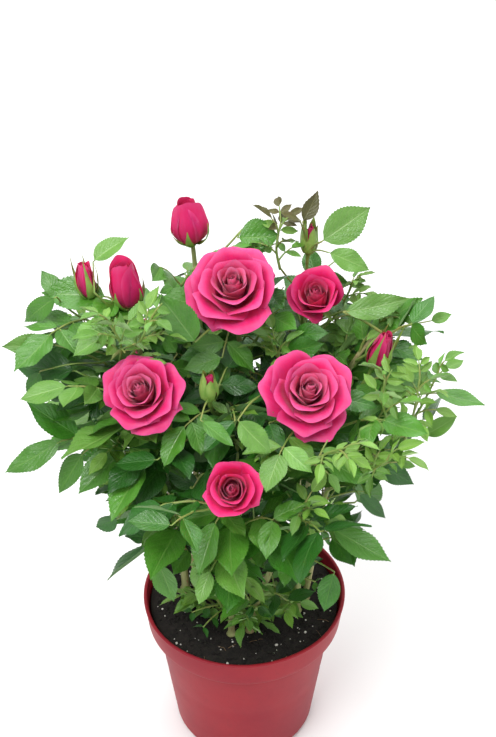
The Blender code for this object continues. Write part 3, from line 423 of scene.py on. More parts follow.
def smoothed(path: Sequence[Vector], radii: Sequence[float], cuts: int) -> tuple[np.ndarray, np.ndarray]:
    """A rounded path through the same points, by Catmull-Rom spans.

    Args:
        path: The points to pass through.
        radii: The radius at each of them.
        cuts: How many steps each span is cut into.

    Returns:
        The new points and their radii.
    """
    p = np.array([tuple(v) for v in path], float)
    ends = np.vstack([2 * p[0] - p[1], p, 2 * p[-1] - p[-2]])
    t = np.linspace(0, 1, cuts, endpoint=False)[:, None]
    spans = []
    for a, b, c, d in zip(ends, ends[1:], ends[2:], ends[3:]):
        bend, twist = 2 * a - 5 * b + 4 * c - d, 3 * b - a - 3 * c + d
        spans.append(0.5 * (2 * b + (c - a) * t + bend * t**2 + twist * t**3))
    points = np.vstack(spans + [p[-1:]])
    return points, np.interp(np.arange(len(points)) / cuts, np.arange(len(p)), radii)


def blend(low: float, high: float, share: np.ndarray | float) -> np.ndarray | float:
    """The value at a share of the way from low to high."""
    return low + (high - low) * share


def eased(low: float, high: float, value: np.ndarray) -> np.ndarray:
    """A smooth step from 0 at low to 1 at high."""
    t = np.clip((value - low) / (high - low), 0.0, 1.0)
    return t * t * (3 - 2 * t)


# ---------------- how the bush grows


@dataclass(frozen=True)
class Habit:
    """The named sizes of the growth rule, in metres and degrees, as the solids have them."""

    gap: float = 0.0003
    soil_level: float = 0.1000
    cane_radius: float = 0.0022
    cane_flare: float = 1.45
    stalk_radius: float = 0.0013
    fork_radius: float = 0.0014
    twig_radius: float = 0.0010
    leaf_stalk_radius: float = 0.0008
    cane_share: float = 0.34
    fork_share: float = 0.30
    path_steps: int = 13
    foot_spacing: float = 0.0065
    foot_upright: float = 0.004
    first_leaf: float = 0.008
    first_fork_leaf: float = 0.020
    shortest_leafy: float = 0.030
    cane_lean: float = 0.22
    cane_rise: float = 0.42
    cane_square: float = 0.24
    fork_pull: float = 0.7
    fork_spread: float = 0.4
    fork_square: float = 0.35
    leaf_spacing: float = 0.0310
    leaf_turn: float = 137.5
    leaf_outwards: float = 0.6
    leaf_stalk: float = 0.038
    shortest_stalk: float = 0.014
    leaf_lift: tuple[float, float] = (22.0, 48.0)
    leaf_swing: float = 28.0
    leaf_sag: float = 34.0
    leaf_sag_range: tuple[float, float] = (0.6, 1.3)
    leaf_roll: float = 22.0
    leaf_size_range: tuple[float, float] = (0.88, 1.12)
    aimed_size_range: tuple[float, float] = (0.86, 1.18)
    aimed_arch: float = 0.30
    aimed_nudge: float = 0.004
    leaflet_splay: tuple[float, float] = (56.0, 72.0)
    leaflet_droop: float = 0.10
    side_leaflet_size: tuple[float, float] = (0.72, 0.88)
    end_leaflet_size: tuple[float, float] = (0.98, 1.12)
    end_leaflet_droop: float = 0.12
    leaflet_length: float = 0.038
    leaflet_shape: float = 0.64
    leaflet_thickness: float = 0.0006
    leaflet_broadest: float = 0.44
    leaflet_sunk: float = 0.0002
    leaflet_clearance: float = 0.0006
    head_clearance: float = 0.0012
    stalk_head_clearance: float = 0.001
    leaf_tries: int = 6
    twig_every: int = 3
    twig_length: float = 0.036
    twig_length_range: tuple[float, float] = (0.75, 1.2)
    twig_lift: tuple[float, float] = (38.0, 56.0)
    twig_swing: float = 30.0
    twig_upturn: float = 0.35
    twig_leaf_share: float = 0.55
    space_margin: float = 0.018
    stem_mark_spacing: float = 0.008
    outline_leeway: float = 0.005
    neighbour_reach: float = 0.055
    lowest_leaf: float = 0.006
    lead_span: float = 0.058
    lead_rise: float = 0.012
    lead_marks: int = 12
    head_widens: float = 1.6
    face_forward: float = 0.75
    face_depth: float = 0.045
    face_share: float = 0.9
    hip_radius: float = 0.0034
    stub_length: float = 0.0040
    bud_height: float = 1.5
    spray_square: float = 0.003
    spray_leaf_size: float = 0.62
    spray_tilt: float = 60
    spray_lean: float = 0.6
    stalk_sunk: float = 0.002
    stalk_by_pairs: tuple[float, float] = (0.60, 0.20)
    on_axis: float = 0.004
    lowest_size: float = 1.05
    size_fall: float = 0.22
    simple_above: float = 0.7
    simple_size: float = 0.85
    end_leaf_way: tuple[float, float] = (0.7, 0.5)
    twig_thins: float = 0.8
    twig_leaf_sizes: tuple[float, float] = (0.82, 0.92)


PAIR_SHARES: dict[int, tuple[float, ...]] = {1: (0.64,), 2: (0.40, 0.76)}
BASE_BELOW_HEART: dict[Ending, float] = {
    Ending.OPEN: 0.30,
    Ending.CUP: 0.42,
    Ending.BUD: 0.75,
    Ending.SMALL_BUD: 0.80,
    Ending.GREEN_BUD: 0.85,
    Ending.LEAFY: 0.0,
}
BARE_BELOW: dict[Ending, float] = {
    Ending.LEAFY: 0.0,
    Ending.OPEN: 0.024,
    Ending.CUP: 0.020,
    Ending.BUD: 0.030,
    Ending.SMALL_BUD: 0.014,
    Ending.GREEN_BUD: 0.014,
}
# How far out leaves may stand: pairs of a height above the soil and the reach there.
CROWN_OUTLINE: tuple[tuple[float, float], ...] = (
    (0.000, 0.060), (0.030, 0.064), (0.060, 0.084), (0.090, 0.108), (0.115, 0.128),
    (0.160, 0.130), (0.195, 0.118), (0.225, 0.088), (0.245, 0.050), (0.260, 0.0),
)
SIZES = Habit()


def place(bearing: float, reach: float, height: float) -> Vector:
    """The point at a bearing and reach from the pot's axis, and a height above the soil."""
    return flat_direction(bearing) * reach + Vector((0, 0, SIZES.soil_level + height))


def bloom_base(shoot: Shoot) -> Vector:
    """Where a shoot's stem ends, under its flower."""
    down = facing(shoot.turned, shoot.tilt) * shoot.across * BASE_BELOW_HEART[shoot.ending]
    return place(shoot.bearing, shoot.reach, shoot.height) - down


def leader_path(foot: Vector, shoot: Shoot) -> list[Vector]:
    """A cane and its stem as one curve: upright at the root, and square under the flower.

    Args:
        foot: Where the cane stands in the soil.
        shoot: The shoot that it ends in.

    Returns:
        The curve's points.
    """
    tip = bloom_base(shoot)
    rise = tip.z - foot.z
    out = Vector((tip.x - foot.x, tip.y - foot.y, 0.0))
    low = foot + out * SIZES.cane_lean + Vector((0, 0, SIZES.cane_rise * rise))
    high = tip - facing(shoot.turned, shoot.tilt) * (SIZES.cane_square * rise)
    upright = foot + Vector((0, 0, SIZES.foot_upright))
    return [foot] + bezier(upright, low, high, tip, SIZES.path_steps - 1)


def side_path(start: Vector, direction: Vector, shoot: Shoot) -> list[Vector]:
    """A fork of the stem, from a point on the leader to the shoot's end.

    Args:
        start: Where it leaves the leader.
        direction: The way in which it leaves.
        shoot: The shoot that it ends in.

    Returns:
        The curve's points.
    """
    tip = bloom_base(shoot)
    span = (tip - start).length
    way = (tip - start).normalized().lerp(direction, SIZES.fork_pull)
    low = start + way * span * SIZES.fork_spread
    high = tip - facing(shoot.turned, shoot.tilt) * (SIZES.fork_square * span)
    return bezier(start, low, high, tip, SIZES.path_steps // 2)


def cane_feet() -> dict[str, Vector]:
    """The root of each mass's cane: spaced round its cutting in the order of the ways they lean.

    Returns:
        Each root, by the name of its mass.
    """
    feet = {}
    for cutting, masses in ROOTED.items():
        centre = flat_direction(CUTTINGS[cutting][0]) * CUTTINGS[cutting][1]
        ways = {}
        for mass in masses:
            leader = next(s for s in SHOOTS if s.mass == mass)
            off = place(leader.bearing, leader.reach, 0) - centre
            ways[mass] = math.degrees(math.atan2(off.x, -off.y)) % 360
        ordered = sorted(masses, key=lambda mass: ways[mass])
        first = ways[ordered[0]]
        for i, mass in enumerate(ordered):
            foot = centre + flat_direction(first + i * 360 / len(ordered)) * SIZES.foot_spacing
            feet[mass] = Vector((foot.x, foot.y, SIZES.soil_level + SIZES.gap))
    return feet


def compound_leaf(
    root: Vector, way: Vector, stalk_length: float, size: float, pairs: int, rng: random.Random
) -> Leaf:
    """One leaf: a stalk that arches over, with pairs of leaflets and one at its end.

    Args:
        root: Where the stalk leaves its stem.
        way: The way that it leaves.
        stalk_length: The stalk's length.
        size: The leaflets' size, as a share of the usual one.
        pairs: How many pairs of side leaflets it has.
        rng: The source of its small differences.

    Returns:
        The leaf.
    """
    level = square_to(UP, way)
    across = way.cross(level)
    sag = SIZES.leaf_sag * rng.uniform(*SIZES.leaf_sag_range) / 2
    stalk = [root]
    for _ in range(2):
        stalk.append(stalk[-1] + way * (stalk_length / 2))
        way = spun(way, -sag, across)
    roll = rng.uniform(-SIZES.leaf_roll, SIZES.leaf_roll)
    blades = []
    for share in PAIR_SHARES[pairs]:
        at, along = point_on(stalk, stalk_length * share)
        normal = spun(square_to(UP, along), roll, along)
        for side in (-1, 1):
            splayed = spun(along, side * rng.uniform(*SIZES.leaflet_splay), normal)
            out = (splayed - normal * SIZES.leaflet_droop).normalized()
            grown = SIZES.leaflet_length * size * rng.uniform(*SIZES.side_leaflet_size)
            blades.append(Blade(share, at, out, square_to(normal, out), grown, grown * SIZES.leaflet_shape))
    along = (way - Vector((0, 0, SIZES.end_leaflet_droop))).normalized()
    normal = spun(square_to(UP, along), roll, along)
    grown = SIZES.leaflet_length * size * rng.uniform(*SIZES.end_leaflet_size)
    blades.append(Blade(1.0, stalk[-1], along, normal, grown, grown * SIZES.leaflet_shape))
    return Leaf(stalk, blades)


def turned_leaf(leaf: Leaf, turn: Matrix) -> Leaf:
    """The leaf turned about its root.

    Args:
        leaf: The leaf.
        turn: The rotation.

    Returns:
        The turned leaf.
    """
    root = leaf.stalk[0]
    blades = [
        b._replace(root=root + turn @ (b.root - root), along=turn @ b.along, normal=turn @ b.normal)
        for b in leaf.blades
    ]
    return Leaf([root + turn @ (p - root) for p in leaf.stalk], blades)


def aimed_leaf(root: Vector, tip: Vector, pairs: int, rng: random.Random) -> Leaf:
    """A leaf whose end comes to rest on tip.

    Args:
        root: Where its stalk leaves the stem.
        tip: Where its end comes to rest.
        pairs: How many pairs of leaflets it has.
        rng: What the random values are drawn from.

    Returns:
        The leaf.
    """
    reach = tip - root
    smallest, largest = SIZES.aimed_size_range
    size = min(largest, max(smallest, reach.length / (SIZES.leaf_stalk + SIZES.leaflet_length)))
    stalk_length = max(SIZES.shortest_stalk, reach.length - SIZES.leaflet_length * size)
    way = (reach.normalized() + Vector((0, 0, SIZES.aimed_arch))).normalized()
    leaf = compound_leaf(root, way, stalk_length, size, pairs, rng)
    return turned_leaf(leaf, (leaf.blades[-1].at(1.0) - root).rotation_difference(reach).to_matrix())


def leaf_at(site: Site, attempt: int) -> Leaf:
    """The leaf that a site grows: later attempts swing it further round its stem.

    Args:
        site: Where it grows.
        attempt: The number of the attempt, from 0.

    Returns:
        The leaf.
    """
    rng = random.Random(f"{site.label}/{attempt}")
    if site.target is not None:
        nudge = Vector([rng.uniform(-SIZES.aimed_nudge, SIZES.aimed_nudge) * attempt for _ in range(3)])
        return aimed_leaf(site.root, site.target + nudge, site.pairs, rng)
    out_way = spun(site.out_way, rng.uniform(-SIZES.leaf_swing, SIZES.leaf_swing) * attempt, site.stem_way)
    way = lifted(out_way, site.stem_way, rng.uniform(*SIZES.leaf_lift))
    size = site.size * rng.uniform(*SIZES.leaf_size_range)
    stalk_length = SIZES.leaf_stalk * size * rng.uniform(*SIZES.leaf_size_range)
    stalk_length *= SIZES.stalk_by_pairs[0] + SIZES.stalk_by_pairs[1] * site.pairs
    return compound_leaf(site.root, way, stalk_length, size, site.pairs, rng)


def sites_along(
    label: str,
    path: Sequence[Vector],
    start: float,
    end: float,
    leafy: bool,
    scale: float = 1.0,
    spacing: float = SIZES.leaf_spacing,
) -> list[Site]:
    """Where a stem's leaves grow: they spiral up it, smaller and simpler towards a flower.

    Args:
        label: The stem's own name, which seeds it.
        path: The stem.
        start: How far up it the first leaf grows.
        end: How far up it the last one grows.
        leafy: Whether the stem ends in leaves and not in a flower.
        scale: The leaves' size, as a share of the usual one.
        spacing: The distance between leaves of the usual size.

    Returns:
        The sites, from the lowest to the highest.
    """
    sites = []
    first_turn = random.Random(label).uniform(0, 360)
    end = min(end, path_length(path) - SIZES.stalk_sunk)
    count = max(1, int((end - start) / (spacing * scale)) + 1)
    for k in range(count):
        share = k / max(1, count - 1)
        at, stem_way = point_on(path, start + (end - start) * share)
        out_way = spun(sideways(stem_way), first_turn + SIZES.leaf_turn * k, stem_way)
        outward = Vector((at.x, at.y, 0.0))
        outward = outward.normalized() if outward.length > SIZES.on_axis else flat_direction(first_turn)
        out_way = square_to(out_way + outward * SIZES.leaf_outwards, stem_way)
        pairs, size = 2, SIZES.lowest_size - SIZES.size_fall * share
        if not leafy and share > SIZES.simple_above:
            pairs, size = 1, size * SIZES.simple_size
        if leafy and k == count - 1:
            up, out = SIZES.end_leaf_way
            out_way, size = (stem_way * up + outward * out).normalized(), 1.0
        sites.append(Site(f"{label}/{k}", at, stem_way, out_way, size * scale, pairs, None))
    return sites


def twigs_along(mass: str, sites: list[Site], room: Room) -> tuple[list[Stem], list[Site]]:
    """Short leafy twigs from every third leaf's axil, where nothing is in their way.

    Args:
        mass: The mass's name.
        sites: The sites of the mass's leaves.
        room: What is taken so far.

    Returns:
        The twigs, and the sites of the leaves on them.
    """
    stems, extra = [], []
    for k, site in enumerate(sites[1 : -1 : SIZES.twig_every]):
        name = f"{mass}/twig/{k}"
        rng = random.Random(name)
        lift = rng.uniform(*SIZES.twig_lift)
        away = spun(site.out_way, rng.uniform(-SIZES.twig_swing, SIZES.twig_swing), site.stem_way)
        way = lifted(away, site.stem_way, lift)
        length = SIZES.twig_length * rng.uniform(*SIZES.twig_length_range)
        bend = (way + Vector((0, 0, SIZES.twig_upturn))).normalized()
        elbow = site.root + way * length * 0.5
        twig = [site.root, elbow, elbow + bend * length * 0.5]
        if not room.stem_is_free(mass, twig, SIZES.twig_radius):
            continue
        stems.append(Stem(twig, taper(twig, SIZES.twig_radius, SIZES.twig_radius * SIZES.twig_thins)))
        middle, middle_way = point_on(twig, length * SIZES.twig_leaf_share)
        side = spun(square_to(away, middle_way), rng.uniform(0, 360), middle_way)
        side_size, end_size = SIZES.twig_leaf_sizes
        extra.append(Site(f"{name}/side", middle, middle_way, side, side_size, 1, None))
        end = twig[-1] - bend * SIZES.stalk_sunk
        extra.append(Site(f"{name}/end", end, bend, (bend + away).normalized(), end_size, 2, None))
    return stems, extra


def marks_along(path: Sequence[Vector], count: int) -> list[Vector]:
    """Evenly spaced points up a stem, the last well inside its end."""
    length = path_length(path) - SIZES.stalk_sunk
    return [point_on(path, length * n / count)[0] for n in range(1, count + 1)]


def lead_sites(mass: str, stems: list[Stem]) -> list[Site]:
    """The sites of a mass's lead leaves, each on the stem nearest to where its stalk would begin.

    Args:
        mass: The mass's name.
        stems: The mass's stems.

    Returns:
        The sites, with the tips that the leaves aim at.
    """
    sites = []
    for i, lead in enumerate(each for each in LEAD_LEAVES if each.mass == mass):
        tip = place(lead.bearing, lead.reach, lead.height)
        ideal = tip - flat_direction(lead.bearing) * SIZES.lead_span - Vector((0, 0, SIZES.lead_rise))
        choices = [point for stem in stems for point in marks_along(stem.points, SIZES.lead_marks)]
        root = min(choices, key=lambda point: (point - ideal).length)
        sites.append(Site(f"{mass}/lead/{i}", root, None, None, 1.0, lead.pairs, tip))
    return sites


def tube_tree(points: Sequence[Vector], radius: float) -> BVHTree:
    """A plain three-sided tube, to test what a stem would touch.

    Args:
        points: The middle of the stem.
        radius: The tube's radius.

    Returns:
        The tube, ready to be tested.
    """
    corners, faces = [], []
    for i, point in enumerate(points):
        way = (points[min(i + 1, len(points) - 1)] - points[max(i - 1, 0)]).normalized()
        side = square_to(Vector((0.4, 0.3, 0.2)), way)
        corners += [point + spun(side, turn, way) * radius for turn in (0, 120, 240)]
    for i in range(len(points) - 1):
        for j, k in ((0, 1), (1, 2), (2, 0)):
            faces.append((3 * i + j, 3 * i + k, 3 * i + 3 + k, 3 * i + 3 + j))
    return BVHTree.FromPolygons(corners, faces)


def crown_reach(height: float) -> float:
    """How far from the pot's axis leaves may stand at a height above the soil.

    Args:
        height: The height above the soil.

    Returns:
        The furthest distance from the axis.
    """
    for (low, near), (high, far) in zip(CROWN_OUTLINE, CROWN_OUTLINE[1:]):
        if height <= high:
            return near + (far - near) * max(0.0, height - low) / (high - low)
    return 0.0


class Room:
    """What is taken in the crown: every stem and flower, and the leaves set so far."""

    # A leaflet's root, edge, tip, other edge, and the middles of its two faces.
    BLADE = tuple(
        Vector((along, across, thick * SIZES.leaflet_thickness / SIZES.leaflet_length))
        for along, across, thick in (
            (0.0, 0.0, 0.0),
            (SIZES.leaflet_broadest, -0.5, 0.0),
            (1.0, 0.0, 0.0),
            (SIZES.leaflet_broadest, 0.5, 0.0),
            (SIZES.leaflet_broadest, 0.0, 0.5),
            (SIZES.leaflet_broadest, 0.0, -0.5),
        )
    )
    FACES = tuple((a, b, top) for top in (4, 5) for a, b in ((0, 1), (1, 2), (2, 3), (3, 0)))

    def __init__(self, heads: list[tuple[Vector, Vector, float, float, float]]) -> None:
        """Starts with only the flowers, each as base, facing, length, hip radius and rim radius.

        Args:
            heads: The flowers.
        """
        self.heads = heads
        self.stems: list[tuple[str, BVHTree, Sequence[Vector]]] = []
        self.leaves: dict[tuple[int, ...], list[tuple[Vector, BVHTree]]] = {}
        self.labels: list[str] = []
        self.nearest: KDTree = KDTree(0)
        self.limits: Optional[Sequence[Sequence[float]]] = None

    def add_stem(self, mass: str, points: Sequence[Vector], radius: float) -> None:
        """Takes up a stem's room."""
        self.stems.append((mass, tube_tree(points, radius), points))

    def add_leaf(self, centre: Vector, tree: BVHTree) -> None:
        """Takes up a leaflet's or a leaf stalk's room."""
        self.leaves.setdefault(self.cell_of(centre), []).append((centre, tree))

    def cell_of(self, point: Vector) -> tuple[int, ...]:
        """The cell of the leaves' grid that a point lies in."""
        return tuple(math.floor(c / SIZES.neighbour_reach) for c in point)

    def share_out(self) -> None:
        """Makes the map of which mass's stems each point lies nearest to."""
        marks = []
        for mass, _, points in self.stems:
            if mass == FLOWER_STALK:
                continue
            length = path_length(points)
            steps = max(1, int(length / SIZES.stem_mark_spacing))
            marks += [(mass, point_on(points, length * i / steps)[0]) for i in range(steps + 1)]
        self.nearest = KDTree(len(marks))
        for i, (_, point) in enumerate(marks):
            self.nearest.insert(point, i)
        self.labels = [mass for mass, _ in marks]
        self.nearest.balance()

    def owns(self, mass: str, point: Vector, leeway: float) -> bool:
        """Whether a point is in the crown, and no further over to another mass's stems than the margin.

        Args:
            mass: The mass's name.
            point: The point.
            leeway: How far past the crown's skin it may stand.

        Returns:
            Whether it is so.
        """
        if math.hypot(point.x, point.y) > crown_reach(point.z - SIZES.soil_level) + leeway:
            return False
        if self.limits and not all(low < c < high for low, c, high in zip(self.limits[0], point, self.limits[1])):
            return False
        near = self.nearest.find_range(point, self.nearest.find(point)[2] + SIZES.space_margin)
        return any(self.labels[index] == mass for _, index, _ in near)

    def clear_of_heads(self, point: Vector, clearance: float) -> bool:
        """Whether a point keeps clear of every flower, each taken as a cone from its hip to its rim.

        Args:
            point: The point.
            clearance: How far it has to keep away.

        Returns:
            Whether it does.
        """
        for base, axis, length, hip, rim in self.heads:
            along = min(length, max(0.0, (point - base).dot(axis)))
            radius = hip + (rim - hip) * min(1.0, SIZES.head_widens * along / length)
            if (point - base - axis * along).length < radius + clearance:
                return False
        return True

    def hides_flower(self, point: Vector) -> bool:
        """Whether a point hangs over a flower's face, seen from straight above it or from the front.

        Args:
            point: The point.

        Returns:
            Whether it does.
        """
        for base, axis, length, _, rim in self.heads:
            heart = base + axis * length * 0.5
            for way in (axis, (axis + flat_direction(0) * SIZES.face_forward).normalized()):
                along = (point - heart).dot(way)
                aside = (point - heart - way * along).length
                if 0 < along < SIZES.face_depth and aside < rim * SIZES.face_share:
                    return True
        return False

    def stem_is_free(self, mass: str, points: Sequence[Vector], radius: float) -> bool:
        """Whether a new stem would clear the other masses' stems and the flowers.

        Args:
            mass: The mass's name.
            points: The stem's middle.
            radius: Its radius.

        Returns:
            Whether it would.
        """
        tree = tube_tree(points, radius + SIZES.gap * 2)
        if any(owner != mass and tree.overlap(other) for owner, other, _ in self.stems):
            return False
        return all(self.clear_of_heads(p, radius * 2) for p in points)

    def corners(self, blade: Blade, clearance: float) -> list[Vector]:
        """The corners of a leaflet's body, thickened by a clearance on both faces and round its edge.

        Args:
            blade: The leaflet.
            clearance: How much it is thickened by.

        Returns:
            The six corners.
        """
        across = blade.normal.cross(blade.along)
        sunk = 0.0 if blade.share == 1.0 else SIZES.leaflet_sunk
        root = blade.root - blade.along * sunk
        centre = root + blade.along * (SIZES.leaflet_broadest * blade.length)
        grown = []
        for x, y, z in self.BLADE:
            point = root + blade.along * (x * blade.length) + across * (y * blade.width)
            point = point + blade.normal * (z * blade.length)
            if z:
                push = blade.normal if z > 0 else -blade.normal
            else:
                push = (point - centre).normalized()
            grown.append(point + push * clearance)
        return grown

    def near_leaves(self, centre: Vector) -> Iterable[BVHTree]:
        """What leaves and leaf stalks lie within reach of a point.

        Args:
            centre: The point.

        Returns:
            The leaflets and stalks, ready to be tested.
        """
        for cell in product(*((c - 1, c, c + 1) for c in self.cell_of(centre))):
            for middle, tree in self.leaves.get(cell, ()):
                if (middle - centre).length < SIZES.neighbour_reach:
                    yield tree

    def blade_is_free(self, mass: str, blade: Blade, leeway: float) -> bool:
        """Whether a leaflet touches nothing and stays in its mass's space.

        Args:
            mass: The mass's name.
            blade: The leaflet.
            leeway: How far past the crown's skin it may stand.

        Returns:
            Whether it does both.
        """
        corners = self.corners(blade, SIZES.leaflet_clearance)
        samples = corners + [blade.at(0.5), blade.at(0.75)]
        if min(p.z for p in corners) < SIZES.soil_level + SIZES.lowest_leaf:
            return False
        if not all(self.clear_of_heads(p, SIZES.head_clearance) for p in samples):
            return False
        if not all(self.owns(mass, p, leeway) for p in corners):
            return False
        tree = BVHTree.FromPolygons(corners, self.FACES)
        if any(tree.overlap(other) for _, other, _ in self.stems):
            return False
        return not any(tree.overlap(other) for other in self.near_leaves(blade.at(0.5)))

    def fitted(self, mass: str, leaf: Leaf, leeway: float) -> Optional[Leaf]:
        """The leaf with only the leaflets that are free, or None where its stalk itself is in the way.

        Args:
            mass: The mass's name.
            leaf: The leaf.
            leeway: How far past the crown's skin it may stand.

        Returns:
            What is left of the leaf, if anything.
        """
        stalk = tube_tree(leaf.stalk, SIZES.leaf_stalk_radius + SIZES.gap * 2)
        if any(owner != mass and stalk.overlap(other) for owner, other, _ in self.stems):
            return None
        if not all(self.clear_of_heads(p, SIZES.stalk_head_clearance) for p in leaf.stalk[1:]):
            return None
        middle = (leaf.stalk[0] + leaf.stalk[-1]) / 2
        if any(stalk.overlap(other) for other in self.near_leaves(middle)):
            return None
        free = [blade for blade in leaf.blades if self.blade_is_free(mass, blade, leeway)]
        return Leaf(leaf.stalk, free) if free else None

    def settle(self, mass: str, site: Site) -> Optional[Leaf]:
        """Sets the best of a few attempts at a site's leaf, and remembers it.

        Args:
            mass: The mass's name.
            site: Where the leaf grows.

        Returns:
            The leaf, or None where none fits.
        """
        best = None
        leeway = SIZES.outline_leeway if site.target is not None else 0.0
        for attempt in range(SIZES.leaf_tries):
            grown = leaf_at(site, attempt)
            leaf = self.fitted(mass, grown, leeway)
            if leaf is not None and (best is None or len(leaf.blades) > len(best.blades)):
                best = leaf
            if best is not None and len(best.blades) == len(grown.blades):
                break
        if best is None or (len(best.blades) < 2 and site.target is None):
            return None
        stalk = cut_path(best.stalk, path_length(best.stalk) * max(b.share for b in best.blades))
        best = Leaf(stalk, best.blades)
        self.add_leaf((stalk[0] + stalk[-1]) / 2, tube_tree(stalk, SIZES.leaf_stalk_radius))
        for blade in best.blades:
            self.add_leaf(blade.at(0.5), BVHTree.FromPolygons(self.corners(blade, 0.0), self.FACES))
        return best


def head_cone(shoot: Shoot) -> tuple[Vector, Vector, float, float, float]:
    """A flower's hip, facing, length and radii, for keeping leaves clear of it."""
    length = shoot.across * (SIZES.bud_height if shoot.ending in BUDS else 0.5)
    return bloom_base(shoot), facing(shoot.turned, shoot.tilt), length, SIZES.hip_radius, shoot.across / 2


def below_head(path: list[Vector], shoot: Shoot) -> list[Vector]:
    """A stem's points, the last pulled back to leave room for the flower's own stalk.

    Args:
        path: The stem's points.
        shoot: The shoot that it ends in.

    Returns:
        The stem's new points.
    """
    if shoot.ending in (Ending.LEAFY, Ending.GREEN_BUD):
        return path
    way = facing(shoot.turned, shoot.tilt)
    return path[:-1] + [path[-1] - way * SIZES.stub_length * 2, path[-1] - way * SIZES.stub_length]


def low_spray(spray: LowSpray, cane: Sequence[Vector]) -> list[Vector]:
    """The path of a short shoot that starts at the side of a cane.

    Args:
        spray: The shoot.
        cane: The cane's points.

    Returns:
        The path's points.
    """
    at, way = point_on(cane, path_length(cane) * spray.share)
    tip = place(spray.bearing, spray.reach, spray.height)
    out = square_to(tip - at, way)
    start = at + out * (SIZES.cane_radius + SIZES.gap)
    facing_out = (Ending.LEAFY, 0.0, spray.bearing, SIZES.spray_tilt)
    shoot = Shoot(spray.name, spray.bearing, spray.reach, spray.height, *facing_out)
    path = side_path(start, (out + way * SIZES.spray_lean).normalized(), shoot)
    return [start, start + out * SIZES.spray_square] + path[2:]


